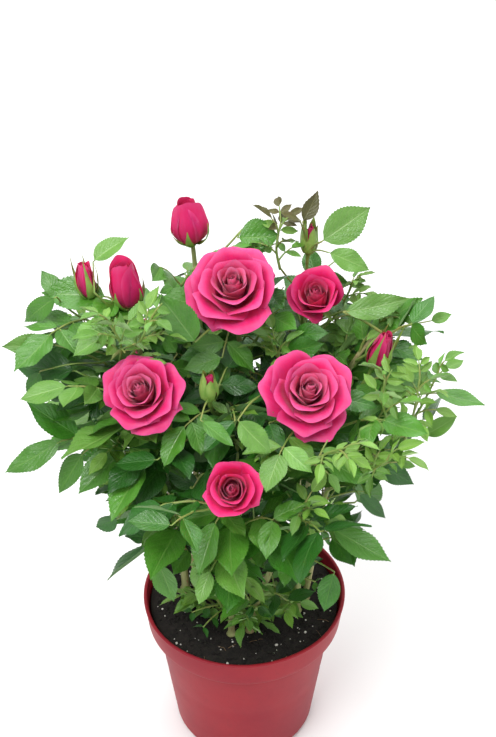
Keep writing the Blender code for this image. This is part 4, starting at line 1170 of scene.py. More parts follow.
@dataclass
class Bush:
    """The whole plant as stems and leaves, grown by the solids' rule and then carried further."""

    canes: dict[str, Stem] = field(default_factory=dict)
    leaders: dict[str, Stem] = field(default_factory=dict)
    stems: dict[str, list[Stem]] = field(default_factory=dict)
    leaves: dict[str, list[Leaf]] = field(default_factory=dict)
    sites: dict[str, list[Site]] = field(default_factory=dict)
    shown: list[tuple[Leaf, Tint]] = field(default_factory=list)
    young: list[Leaf] = field(default_factory=list)
    young_stems: list[Stem] = field(default_factory=list)
    room: Room = field(default_factory=lambda: Room([head_cone(s) for s in SHOOTS if s.ending is not Ending.LEAFY]))

    def grow(self) -> None:
        """Grows what the solids have: canes, stems, forks, twigs and their leaves."""
        for mass, foot in cane_feet().items():
            self._grow_mass(mass, foot)
        for spray in LOW_SPRAYS:
            path = low_spray(spray, self.canes[spray.carrier].points)
            self.stems[spray.name] = [Stem(path, taper(path, SIZES.fork_radius, SIZES.twig_radius))]
            length = path_length(path)
            self.sites[spray.name] = sites_along(
                spray.name, path, SIZES.first_leaf, length, True, SIZES.spray_leaf_size
            )
        self._take_room()
        self.leaves = {
            mass: [self.room.settle(mass, site) for site in lead_sites(mass, self.stems[mass])]
            for mass in self.stems
        }
        for mass in self.stems:
            self.leaves[mass] += [self.room.settle(mass, site) for site in self.sites[mass]]
            self.leaves[mass] = [leaf for leaf in self.leaves[mass] if leaf is not None]

    def _grow_mass(self, mass: str, foot: Vector) -> None:
        """Grows one mass's cane, leader and forks, and finds its leaf sites.

        Args:
            mass: The mass's name.
            foot: Where its cane stands in the soil.
        """
        shoots = [s for s in SHOOTS if s.mass == mass]
        path = leader_path(foot, shoots[0])
        split = round(SIZES.path_steps * SIZES.cane_share)
        radii = taper(path, SIZES.cane_radius, SIZES.stalk_radius)
        flared = [SIZES.cane_radius * SIZES.cane_flare] + radii[1:]
        self.canes[mass] = Stem(path[: split + 1], flared[: split + 1])
        self.leaders[mass] = Stem(path, flared)
        start = path[split] + (path[split + 1] - path[split]).normalized() * SIZES.gap
        above = below_head([start] + path[split + 1 :], shoots[0])
        self.stems[mass] = [Stem(above, taper(above, radii[split], SIZES.stalk_radius))]
        leafy = shoots[0].ending == Ending.LEAFY
        end = path_length(above) - BARE_BELOW[shoots[0].ending]
        self.sites[mass] = sites_along(mass, above, SIZES.first_leaf, end, leafy)
        for i, shoot in enumerate(shoots[1:], 1):
            at, way = point_on(above, path_length(above) * SIZES.fork_share * i)
            side = below_head(side_path(at, way, shoot), shoot)
            self.stems[mass].append(Stem(side, taper(side, SIZES.fork_radius, SIZES.twig_radius)))
            end = max(SIZES.shortest_leafy, path_length(side) - BARE_BELOW[shoot.ending])
            leafy = shoot.ending == Ending.LEAFY
            self.sites[mass] += sites_along(f"{mass}-{i}", side, SIZES.first_fork_leaf, end, leafy)

    def _take_room(self) -> None:
        """Takes up the stems' and flower stalks' room, and grows the twigs that still fit."""
        for mass, cane in self.canes.items():
            self.room.add_stem(f"cane {mass}", cane.points, SIZES.cane_radius)
        for base, axis, _, hip, _ in self.room.heads:
            self.room.add_stem(FLOWER_STALK, [base - axis * SIZES.stub_length, base + axis * hip], hip)
        for mass, group in self.stems.items():
            for stem in group:
                self.room.add_stem(mass, stem.points, max(stem.radii))
        for mass in self.canes:
            twigs, extra = twigs_along(mass, self.sites[mass], self.room)
            for twig in twigs:
                self.room.add_stem(mass, twig.points, SIZES.twig_radius)
            self.stems[mass] += twigs
            self.sites[mass] += extra
        self.room.share_out()

    def fill_out(self) -> None:
        """Carries the growth on within the same crown: side twigs, and smaller leaves between the rest."""
        low, high = np.array(SOLID_BOX)
        self.room.limits = (low + FINE.box_margin, high - FINE.box_margin)
        for mass in sorted(self.stems):
            for i, stem in enumerate(list(self.stems[mass])):
                length = path_length(stem.points)
                label = f"{mass}/fine/{i}"
                if length > FINE.shortest_stem:
                    self._side_twigs(mass, label, stem, length)
                growth = (FINE.first_leaf, length, True, FINE.leaf_size, FINE.leaf_spacing)
                self._settle_all(mass, sites_along(label, stem.points, *growth)[:-1])

    def _side_twigs(self, mass: str, label: str, stem: Stem, length: float) -> None:
        """Grows short leafy twigs from one stem, wherever the room lets them.

        Args:
            mass: The mass's name.
            label: The stem's name, for the random draws.
            stem: The stem.
            length: How much of the stem bears twigs.
        """
        rng = random.Random(label)
        count = int((length - FINE.twig_start) / FINE.twig_spacing)
        first_turn = rng.uniform(0, 360)
        for k in range(count):
            at, way = point_on(stem.points, FINE.twig_start + (k + rng.uniform(*FINE.twig_slip)) * FINE.twig_spacing)
            side = spun(sideways(way), first_turn + SIZES.leaf_turn * k, way)
            start_way = lifted(side, way, rng.uniform(*FINE.twig_lift))
            span = rng.uniform(*FINE.twig_length)
            bend = (start_way + Vector((0, 0, SIZES.twig_upturn))).normalized()
            elbow = at + start_way * span * 0.5
            twig = [at, elbow, elbow + bend * span * 0.5]
            if not self.room.stem_is_free(mass, twig, FINE.twig_radius):
                continue
            start = span * FINE.twig_bare
            sites = sites_along(f"{label}/{k}", twig, start, span, True, FINE.leaf_size, FINE.leaf_spacing)
            before = len(self.leaves[mass])
            self._settle_all(mass, sites)
            if len(self.leaves[mass]) > before:
                self.stems[mass].append(Stem(twig, taper(twig, FINE.twig_radius, FINE.twig_radius * FINE.twig_thins)))
                self.room.add_stem(mass, twig, FINE.twig_radius)

    def _settle_all(self, mass: str, sites: list[Site]) -> None:
        """Sets the leaves of some sites, and keeps those that found room."""
        found = (self.room.settle(mass, site) for site in sites)
        self.leaves[mass] += [leaf for leaf in found if leaf is not None]

    def set_lead_leaves(self) -> None:
        """Sets the lead leaves that the solids' larger leaves left no room for."""
        low, high = np.array(SOLID_BOX)
        for mass in sorted(self.stems):
            tips = [blade.at(1.0) for leaf in self.leaves[mass] for blade in leaf.blades]
            for site in lead_sites(mass, self.stems[mass]):
                if min((tip - site.target).length for tip in tips) < FINE.lead_missed:
                    continue
                target = Vector(np.clip(site.target, low - FINE.proud, high + FINE.proud))
                rng = random.Random(f"late {site.label}")
                self.leaves[mass].append(aimed_leaf(site.root, target, site.pairs, rng))

    def grow_young_shoots(self) -> None:
        """Grows young shoots of small narrow leaves: from leafy stems' ends, and from the canes' feet."""
        for mass in sorted(self.stems):
            endings = [shoot.ending for shoot in SHOOTS if shoot.mass == mass]
            rng = random.Random(f"young {mass}")
            for i, stem in enumerate(self.stems[mass]):
                bare = endings[i] is not Ending.LEAFY if i < len(endings) else rng.random() > FINE.young_share
                if bare:
                    continue
                way = (stem.points[-1] - stem.points[-2]).normalized()
                way = (way + UP * FINE.young_upturn).normalized()
                span = rng.uniform(*FINE.young_length)
                side = sideways(way) * span * rng.uniform(-FINE.young_sway, FINE.young_sway)
                start = stem.points[-1]
                self._add_young_shoot([start, start + way * span / 2, start + way * span + side], rng)
        for bearing, reach, height in FOOT_SHOOTS:
            rng = random.Random(f"foot shoot {bearing}")
            foot, tip = place(bearing, reach * FINE.foot_inwards, -FINE.foot_sunk), place(bearing, reach, height)
            self._add_young_shoot([foot, foot.lerp(tip, 0.5) + UP * FINE.foot_bow, tip], rng)
        for foot_at, tip_at in YOUNG_SPRIGS:
            rng = random.Random(f"sprig {foot_at}")
            foot, tip = place(*foot_at), place(*tip_at)
            bow = flat_direction(rng.uniform(0, 360)) * FINE.sprig_bow
            self._add_young_shoot([foot, foot.lerp(tip, 0.5) + bow, tip], rng, FINE.sprig_spacing)

    def _add_young_shoot(self, path: list[Vector], rng: random.Random, spacing: float = 0.0) -> None:
        """Adds one young shoot and its leaves, unless a flower or the crown's top is in its way.

        Args:
            path: The shoot's points.
            rng: The source of its small differences.
            spacing: How far apart its leaves stand, or 0 for the usual number of leaves.
        """
        end = path[-1]
        inside = all(low < c < high for low, high, c in zip(*np.array(SOLID_BOX) * FINE.young_within, end))
        inside = inside and (spacing > 0 or end.z < SIZES.soil_level + FINE.young_top)
        if not (inside or end.z < FINE.young_low) or not self.room.clear_of_heads(end, FINE.young_clear):
            return
        self.young_stems.append(Stem(path, taper(path, FINE.twig_radius, FINE.twig_radius * FINE.young_thins)))
        count, length = rng.randint(*FINE.young_leaves), path_length(path)
        count = max(count, int(length / spacing)) if spacing else count
        turn = rng.uniform(0, 360)
        for k in range(count):
            share = FINE.young_bare + (1 - FINE.young_bare) * k / (count - 1)
            at, way = point_on(path, length * share)
            out = spun(sideways(way), turn + SIZES.leaf_turn * k, way)
            lift = blend(*FINE.young_lift, share) + rng.uniform(-FINE.young_slip, FINE.young_slip)
            size = rng.uniform(*FINE.young_size) * (FINE.young_fall[0] - FINE.young_fall[1] * share)
            stalk = SIZES.leaf_stalk * size * FINE.young_stalk
            self.young.append(compound_leaf(at, lifted(out, way, lift), stalk, size, rng.choice((1, 2)), rng))

    def add_shown_leaves(self) -> None:
        """Adds the leaflets that show most, each on a stalk of its own from the nearest stem."""
        points = [p for mass in sorted(self.stems) for stem in self.stems[mass] for p in stem.points]
        for leaflet in SHOWN_LEAVES:
            foot, tip = place(*leaflet.foot), place(*leaflet.tip)
            start = min(points, key=lambda p: (p - foot).length + FINE.from_below * max(0.0, p.z - foot.z))
            along = (tip - foot).normalized()
            middle = start.lerp(foot, 0.5) + UP * FINE.stalk_arch * (foot - start).length
            normal = square_to(UP + flat_direction(0) * FINE.shown_forward, along)
            length = (tip - foot).length
            blade = Blade(1.0, foot, along, normal, length, length * leaflet.width)
            self.shown.append((Leaf([start, middle, foot], [blade]), leaflet.tint))


@dataclass(frozen=True)
class FineGrowth:
    """The sizes of the twigs and leaves that come after the solids' own."""

    shortest_stem: float = 0.045
    leaf_size: float = 0.72
    leaf_spacing: float = 0.0150
    twig_start: float = 0.016
    twig_spacing: float = 0.017
    twig_length: tuple[float, float] = (0.018, 0.034)
    twig_lift: tuple[float, float] = (20.0, 58.0)
    twig_radius: float = 0.0008
    box_margin: float = 0.0012
    lead_missed: float = 0.009
    proud: float = 0.0085
    young_share: float = 0.14
    young_upturn: float = 0.7
    young_length: tuple[float, float] = (0.012, 0.024)
    young_leaves: tuple[int, int] = (5, 7)
    young_size: tuple[float, float] = (0.28, 0.44)
    young_within: float = 0.96
    young_low: float = 0.15
    young_top: float = 0.198
    young_clear: float = 0.004
    young_lift: tuple[float, float] = (32.0, 74.0)
    young_stalk: float = 0.8
    young_thins: float = 0.6
    young_sway: float = 0.2
    young_bare: float = 0.2
    young_slip: float = 8
    young_fall: tuple[float, float] = (1.1, 0.35)
    foot_inwards: float = 0.5
    foot_sunk: float = 0.001
    foot_bow: float = 0.004
    first_leaf: float = 0.004
    twig_slip: tuple[float, float] = (0.2, 0.8)
    twig_bare: float = 0.35
    twig_thins: float = 0.7
    sprig_bow: float = 0.003
    sprig_spacing: float = 0.0066
    from_below: float = 2.0
    stalk_arch: float = 0.06
    shown_forward: float = 0.75


FINE = FineGrowth()
# Young shoots from the canes' feet, by the bearing, reach and height above the soil of their tips.
FOOT_SHOOTS = (
    (-16, 0.030, 0.030), (2, 0.037, 0.024), (16, 0.031, 0.036), (40, 0.040, 0.026), (-55, 0.036, 0.022),
)
# Young sprigs in the crown's skin, by the bearings, reaches and heights above the soil of foot and tip.
YOUNG_SPRIGS = (
    ((30, 0.0750, 0.1462), (21, 0.0856, 0.1947)),
    ((28, 0.0734, 0.1543), (26, 0.0893, 0.1996)),
    ((25, 0.0718, 0.1610), (31, 0.0933, 0.1885)),
    ((52, 0.0815, 0.1474), (51, 0.0949, 0.1644)),
    ((65, 0.0835, 0.1626), (60, 0.0802, 0.1990)),
    ((70, 0.0890, 0.1502), (71, 0.0933, 0.1911)),
    ((-72, 0.0653, 0.1935), (-69, 0.0705, 0.2220)),
    ((-71, 0.0629, 0.1935), (-61, 0.0509, 0.2244)),
    ((-90, 0.0193, 0.2176), (-90, 0.0249, 0.2370)),
    ((152, 0.0413, 0.2120), (156, 0.0480, 0.2366)),
    ((-104, 0.0425, 0.2107), (-108, 0.0491, 0.2438)),
    ((77, 0.0873, 0.1471), (76, 0.1011, 0.1897)),
)
SHOWN_LEAVES: tuple[ShownLeaf, ...] = tuple(map(ShownLeaf._make, (
    ((131, 0.0538, 0.2300), (124, 0.0801, 0.2451), 0.66, Tint.LIGHT),
    ((142, 0.0500, 0.2395), (139, 0.0595, 0.2540), 0.55, Tint.BRONZE),
    ((144, 0.0500, 0.2400), (150, 0.0410, 0.2480), 0.55, Tint.BRONZE),
    ((-176, 0.0451, 0.2262), (157, 0.0482, 0.2285), 0.98, Tint.MID),
    ((-90, 0.0976, 0.1893), (-85, 0.1227, 0.1967), 0.50, Tint.LIGHT),
    ((-78, 0.0979, 0.1415), (-77, 0.1300, 0.1250), 0.45, Tint.MID),
    ((-77, 0.0895, 0.1443), (-77, 0.1126, 0.1702), 0.52, Tint.DEEP),
    ((90, 0.1015, 0.1573), (86, 0.1280, 0.1586), 0.42, Tint.MID),
    ((124, 0.0532, 0.2270), (111, 0.0708, 0.2204), 0.60, Tint.LIGHT),
    ((37, 0.0748, 0.1162), (45, 0.1068, 0.1074), 0.48, Tint.MID),
    ((50, 0.0774, 0.1307), (54, 0.0930, 0.1185), 0.42, Tint.DARK),
    ((-111, 0.0840, 0.2209), (-123, 0.0736, 0.2324), 0.62, Tint.LIGHT),
    ((-102, 0.0971, 0.2037), (-106, 0.1107, 0.2159), 0.60, Tint.MID),
    ((101, 0.0526, 0.2031), (97, 0.0870, 0.2088), 0.42, Tint.LIGHT),
    ((101, 0.1008, 0.1908), (100, 0.1113, 0.1954), 0.60, Tint.LIGHT),
    ((78, 0.0977, 0.1450), (80, 0.1132, 0.1567), 0.55, Tint.LIGHT),
    ((-50, 0.0313, 0.2061), (-63, 0.0437, 0.2339), 0.62, Tint.MID),
    ((-16, 0.0729, 0.1973), (-3, 0.0801, 0.1904), 0.60, Tint.MID),
    ((-2, 0.0701, 0.1973), (9, 0.0811, 0.1841), 0.62, Tint.LIGHT),
    ((-80, 0.0870, 0.1287), (-76, 0.1044, 0.1087), 0.62, Tint.MID),
    ((-59, 0.0780, 0.1039), (-63, 0.0893, 0.0957), 0.75, Tint.DARK),
    ((-37, 0.0751, 0.0911), (-28, 0.0794, 0.0704), 0.60, Tint.MID),
    ((39, 0.0769, 0.0835), (31, 0.0816, 0.0634), 0.60, Tint.DEEP),
    ((59, 0.0788, 0.1432), (63, 0.0999, 0.1345), 0.55, Tint.DARK),
    ((-96, 0.0967, 0.2125), (-95, 0.1168, 0.1967), 0.50, Tint.MID),
    ((-19, 0.0741, 0.1030), (-13, 0.0821, 0.0837), 0.60, Tint.LIGHT),
    ((-85, 0.1056, 0.1793), (-82, 0.1130, 0.1661), 0.60, Tint.DEEP),
)))
# Where the crown's skin stays open, by bearing, height above the soil and how far in.
CLEARINGS: tuple[Clearing, ...] = tuple(map(Clearing._make, (
    ((-100, -55), (0.095, 0.131), 0.080),
    ((54, 106), (0.100, 0.172), 0.098),
    ((34, 95), (0.010, 0.128), 0.069),
    ((105, 150), (0.187, 0.260), 0.075),
    ((198, 250), (0.203, 0.260), 0.050),
    ((156, 200), (0.190, 0.260), 0.046),
    ((-50, -20), (0.040, 0.085), 0.062),
    ((20, 36), (0.095, 0.125), 0.112),
)))


# ---------------- sheets, tubes and heaps of them


class Heap:
    """Many small meshes gathered into one piece, each with its places on its own leaf or petal."""

    def __init__(self) -> None:
        """Starts empty."""
        self.points: list[np.ndarray] = []
        self.faces: list[np.ndarray] = []
        self.places: list[np.ndarray] = []
        self.count = 0

    def add(self, points: np.ndarray, faces: np.ndarray, places: Optional[np.ndarray] = None) -> None:
        """Adds a mesh.

        Args:
            points: Its corners, one row each.
            faces: Four corners a face, the last of them -1 on a triangle.
            places: Two place numbers for each corner of each face.
        """
        self.points.append(points)
        self.faces.append(np.where(faces < 0, -1, faces + self.count))
        self.places.append(np.zeros((len(faces), 4, 2)) if places is None else places)
        self.count += len(points)

    def add_sheet(self, grid: np.ndarray, places: Optional[np.ndarray] = None) -> None:
        """Adds a sheet of rows by columns of points, facing the way of its rows crossed with its columns.

        Args:
            grid: The points.
            places: Where each lies on the place map, if the sheet has one.
        """
        index = np.arange(grid.shape[0] * grid.shape[1]).reshape(grid.shape[:2])
        spots = None if places is None else quads(places).reshape(-1, 4, 2)
        self.add(grid.reshape(-1, 3), quads(index).reshape(-1, 4), spots)

    def add_rings(self, rings: np.ndarray, dome: float = 0.5) -> None:
        """Adds a closed skin over rings of points.

        Args:
            rings: The rings, as rows by sides by three.
            dome: How far the ends bulge, as a share of their radius.
        """
        rows, sides = rings.shape[:2]
        index = np.arange(rows * sides).reshape(rows, sides)
        after = np.roll(index, -1, axis=1)
        walls = np.stack([index[:-1], after[:-1], after[1:], index[1:]], axis=-1).reshape(-1, 4)
        none = np.full(sides, -1)
        foot, top = np.full(sides, rows * sides), np.full(sides, rows * sides + 1)
        caps = [np.stack(cap, axis=-1) for cap in ((after[0], index[0], foot, none), (index[-1], after[-1], top, none))]
        ends = []
        for ring, inner in ((rings[0], rings[1]), (rings[-1], rings[-2])):
            middle = ring.mean(axis=0)
            way = middle - inner.mean(axis=0)
            radius = np.linalg.norm(ring - middle, axis=1).mean()
            ends.append(middle + way / max(np.linalg.norm(way), 1e-9) * radius * dome)
        self.add(np.vstack([rings.reshape(-1, 3)] + ends), np.vstack([walls] + caps))

    def add_tube(self, path: np.ndarray, radii: np.ndarray, sides: int, relief: float = 0.0) -> None:
        """Adds a tube along a path.

        Args:
            path: The points of its middle.
            radii: Its radius at each of them.
            sides: How many sides it has.
            relief: How far its skin swells and sinks, as a share of the radius.
        """
        self.add_rings(tube_rings(path, radii, sides, relief))

    def piece(self, name: str, finish: Material, *nodes: str, slot: str = "foliage") -> bpy.types.Object:
        """Makes the heap one object that rides with the plant.

        Args:
            name: The piece's name.
            finish: Its material.
            nodes: The solids that it stands for.
            slot: Passed on to shown, which does not use it.

        Returns:
            The object.
        """
        faces = np.vstack(self.faces)
        corners = faces.reshape(-1)
        kept = corners >= 0
        sizes = (faces >= 0).sum(axis=1)
        mesh = bpy.data.meshes.new(name)
        points = np.vstack(self.points)
        mesh.vertices.add(len(points))
        mesh.vertices.foreach_set("co", points.astype(np.float32).ravel())
        mesh.loops.add(int(kept.sum()))
        mesh.loops.foreach_set("vertex_index", corners[kept].astype(np.int32))
        mesh.polygons.add(len(faces))
        starts = np.concatenate([[0], np.cumsum(sizes)[:-1]]).astype(np.int32)
        mesh.polygons.foreach_set("loop_start", starts)
        mesh.update(calc_edges=True)
        places = np.vstack(self.places).reshape(-1, 2)[kept]
        if np.any(places):
            layer = mesh.uv_layers.new(name=PLACES)
            layer.uv.foreach_set("vector", places.astype(np.float32).ravel())
        mesh.validate()
        mesh.shade_smooth()
        return shown(name, mesh, finish, *nodes, slot=slot)


def quads(grid: np.ndarray) -> np.ndarray:
    """The four corners of each cell of a grid of points or numbers."""
    return np.stack([grid[:-1, :-1], grid[1:, :-1], grid[1:, 1:], grid[:-1, 1:]], axis=2)


def in_scene(name: str, data: bpy.types.ID) -> bpy.types.Object:
    """A new object in the scene, with its mesh, lamp or camera.

    Args:
        name: The object's name.
        data: What it shows.

    Returns:
        The object.
    """
    obj = bpy.data.objects.new(name, data)
    bpy.context.scene.collection.objects.link(obj)
    return obj


def shown(name: str, mesh: bpy.types.Mesh, finish: Material, *nodes: str, slot: str) -> bpy.types.Object:
    """Puts a mesh in the scene as a piece that rides with the plant.

    Args:
        name: The piece's name.
        mesh: Its mesh.
        finish: Its material.
        nodes: The solids that it stands for.
        slot: Not used.

    Returns:
        The object.
    """
    obj = in_scene(name, mesh)
    mesh.materials.append(finish)
    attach(obj, BODY)
    if nodes:
        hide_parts(*nodes)
    LOG.info("%s: %d faces", name, len(mesh.polygons))
    return obj


# The bark's swellings to the metre: the broad ones and the fine ones on them.
BROAD_LUMPS, FINE_LUMPS = 420, 1300


def tube_rings(path: np.ndarray, radii: np.ndarray, sides: int, relief: float = 0.0) -> np.ndarray:
    """The rings of points of a tube, carried along its path without a twist.

    Args:
        path: The points of its middle.
        radii: Its radius at each of them.
        sides: How many sides it has.
        relief: How far its skin swells and sinks, as a share of the radius.

    Returns:
        The rings, as rows by sides by three.
    """
    ways = np.gradient(path, axis=0)
    ways /= np.maximum(np.linalg.norm(ways, axis=1, keepdims=True), 1e-12)
    side = np.cross(ways[0], (0.31, 0.83, 0.46))
    sides_ways = []
    for way in ways:
        side = side - way * side.dot(way)
        side /= np.linalg.norm(side)
        sides_ways.append(side)
    across = np.array(sides_ways)
    up = np.cross(across, ways)
    turn = np.linspace(0, -2 * math.pi, sides, endpoint=False)[None, :, None]
    out = np.cos(turn) * across[:, None] + np.sin(turn) * up[:, None]
    reach = np.repeat(np.asarray(radii)[:, None], sides, axis=1)
    if relief:
        spots = path[:, None] + out * reach[:, :, None]
        spots = [Vector(spot) for spot in spots.reshape(-1, 3)]
        lumps = [noise.noise(spot * BROAD_LUMPS) + 0.6 * noise.noise(spot * FINE_LUMPS) for spot in spots]
        reach = reach * (1 + relief * np.array(lumps).reshape(reach.shape))
    return path[:, None] + out * reach[:, :, None]


def rows_of(vectors: Sequence[Vector]) -> np.ndarray:
    """Vectors as rows of numbers."""
    return np.array([tuple(v) for v in vectors], float)


def frame_of(direction: Vector) -> np.ndarray:
    """The turn that takes +Z to a direction, as rows to multiply points by."""
    return np.array(direction.to_track_quat("Z", "Y").to_matrix()).T


# ---------------- leaves


@dataclass(frozen=True)
class LeafletForm:
    """A leaflet: broad and oval with a drawn-out tip, fine forward teeth, and a fold along its midrib."""

    outline: tuple[tuple[float, float], ...] = (
        (0.0, 0.02), (0.02, 0.20), (0.06, 0.43), (0.12, 0.66), (0.20, 0.85), (0.30, 0.97), (0.40, 1.0),
        (0.50, 0.96), (0.60, 0.84), (0.70, 0.655), (0.80, 0.425), (0.88, 0.23), (0.95, 0.075), (1.0, 0.0),
    )
    slim: float = 0.88
    stations: int = 35
    columns: tuple[float, ...] = (-1.0, -0.62, -0.3, 0.0, 0.3, 0.62, 1.0)
    valley: float = 0.972
    tooth: float = 1.035
    tooth_forward: float = 0.4
    veins_forward: float = 0.05
    fold: tuple[float, float] = (0.08, 0.50)
    arch: tuple[float, float] = (0.05, 0.24)
    wave: tuple[float, float] = (0.010, 0.032)
    quilt: float = 0.0045
    veins: float = 7.5
    vein_sweep: tuple[float, float] = (0.32, 0.9)
    wave_pace: tuple[float, float] = (1.4, 2.6)
    wave_slip: float = 1.3
    arch_power: float = 2.2
    arch_rise: float = 0.15
    twist: float = 0.25
    young_slim: float = 0.3
    young_fold: float = 0.5
    fold_sunk: float = 0.4
    turned_edge: float = 0.10
    bend: float = 0.07
    cells: int = 4
    cell_margin: float = 0.02

    def grid(self, blade: Blade, rng: random.Random, youth: float) -> np.ndarray:
        """The points of one leaflet.

        Args:
            blade: Where it grows and how large.
            rng: The source of its own small differences.
            youth: From 0 on a grown leaflet to 1 on a young one, which is narrow and folded.

        Returns:
            Rows of points from its root to its tip, across from its left edge to its right.
        """
        length, half_width = blade.length, blade.width / 2 * self.slim * (1 - self.young_slim * youth)
        u = np.linspace(0, 1, self.stations)[:, None]
        v = np.array(self.columns)[None, :]
        half = np.interp(u, *zip(*self.outline)) * half_width
        toothed = (np.arange(self.stations) % 2 == 1)[:, None] & (np.abs(v) == 1)
        inner = (u > 0) & (u < 1)
        y = half * v
        y = np.where(np.abs(v) == 1, y * np.where(toothed, self.tooth, self.valley), y)
        step = length / (self.stations - 1)
        x = u * length + np.abs(v) * self.veins_forward * length * np.sin(math.pi * u)
        x = x + np.where(toothed & inner, self.tooth_forward * step, 0.0)
        fold = rng.uniform(*self.fold) + self.young_fold * youth
        arch = rng.uniform(*self.arch)
        wave, phase, pace = rng.uniform(*self.wave), rng.uniform(0, ROUND), rng.uniform(*self.wave_pace)
        z = np.abs(y) * fold - self.fold_sunk * fold * half
        z = z - self.turned_edge * half * v**4 - arch * length * (u**self.arch_power - self.arch_rise)
        z = z + wave * length * np.abs(v) ** 2 * np.sin(2 * math.pi * pace * u + phase + self.wave_slip * np.sign(v))
        sweep, power = self.vein_sweep
        ripple = np.sin(2 * math.pi * self.veins * (u - sweep * np.abs(v) ** power))
        z = z + self.quilt * half_width * ripple * np.sin(math.pi * np.clip(np.abs(v), 0, 1))
        y = y + rng.uniform(-self.bend, self.bend) * length * u**2
        twist = rng.uniform(-self.twist, self.twist) * u
        y, z = y * np.cos(twist) - z * np.sin(twist), y * np.sin(twist) + z * np.cos(twist)
        across = blade.normal.cross(blade.along)
        frame = rows_of([blade.along, across, blade.normal])
        return np.stack([x + 0 * v, y, z], axis=-1) @ frame + rows_of([blade.root])[0]

    def places(self, cell: int) -> np.ndarray:
        """Where each point lies on its leaflet, within one of the map's cells.

        Args:
            cell: The cell's number, from 0.

        Returns:
            The points' places, row by row.
        """
        u = np.linspace(0, 1, self.stations)[:, None] + 0 * np.array(self.columns)[None, :]
        v = (np.array(self.columns)[None, :] + 1) / 2 + 0 * u
        inside = self.cell_margin + (1 - 2 * self.cell_margin) * np.stack([u, v], axis=-1)
        return (inside + np.array(divmod(cell, self.cells))) / self.cells


def in_clearing(point: Vector) -> bool:
    """Whether a point stands where the crown's skin stays open.

    Args:
        point: The point.

    Returns:
        Whether it does.
    """
    bearing, reach, height = bearing_of(point), math.hypot(point.x, point.y), point.z - SIZES.soil_level
    for (start, end), (low, high), inner in CLEARINGS:
        if low < height < high and reach > inner and (start < bearing < end or start < bearing + 360 < end):
            return True
    return False


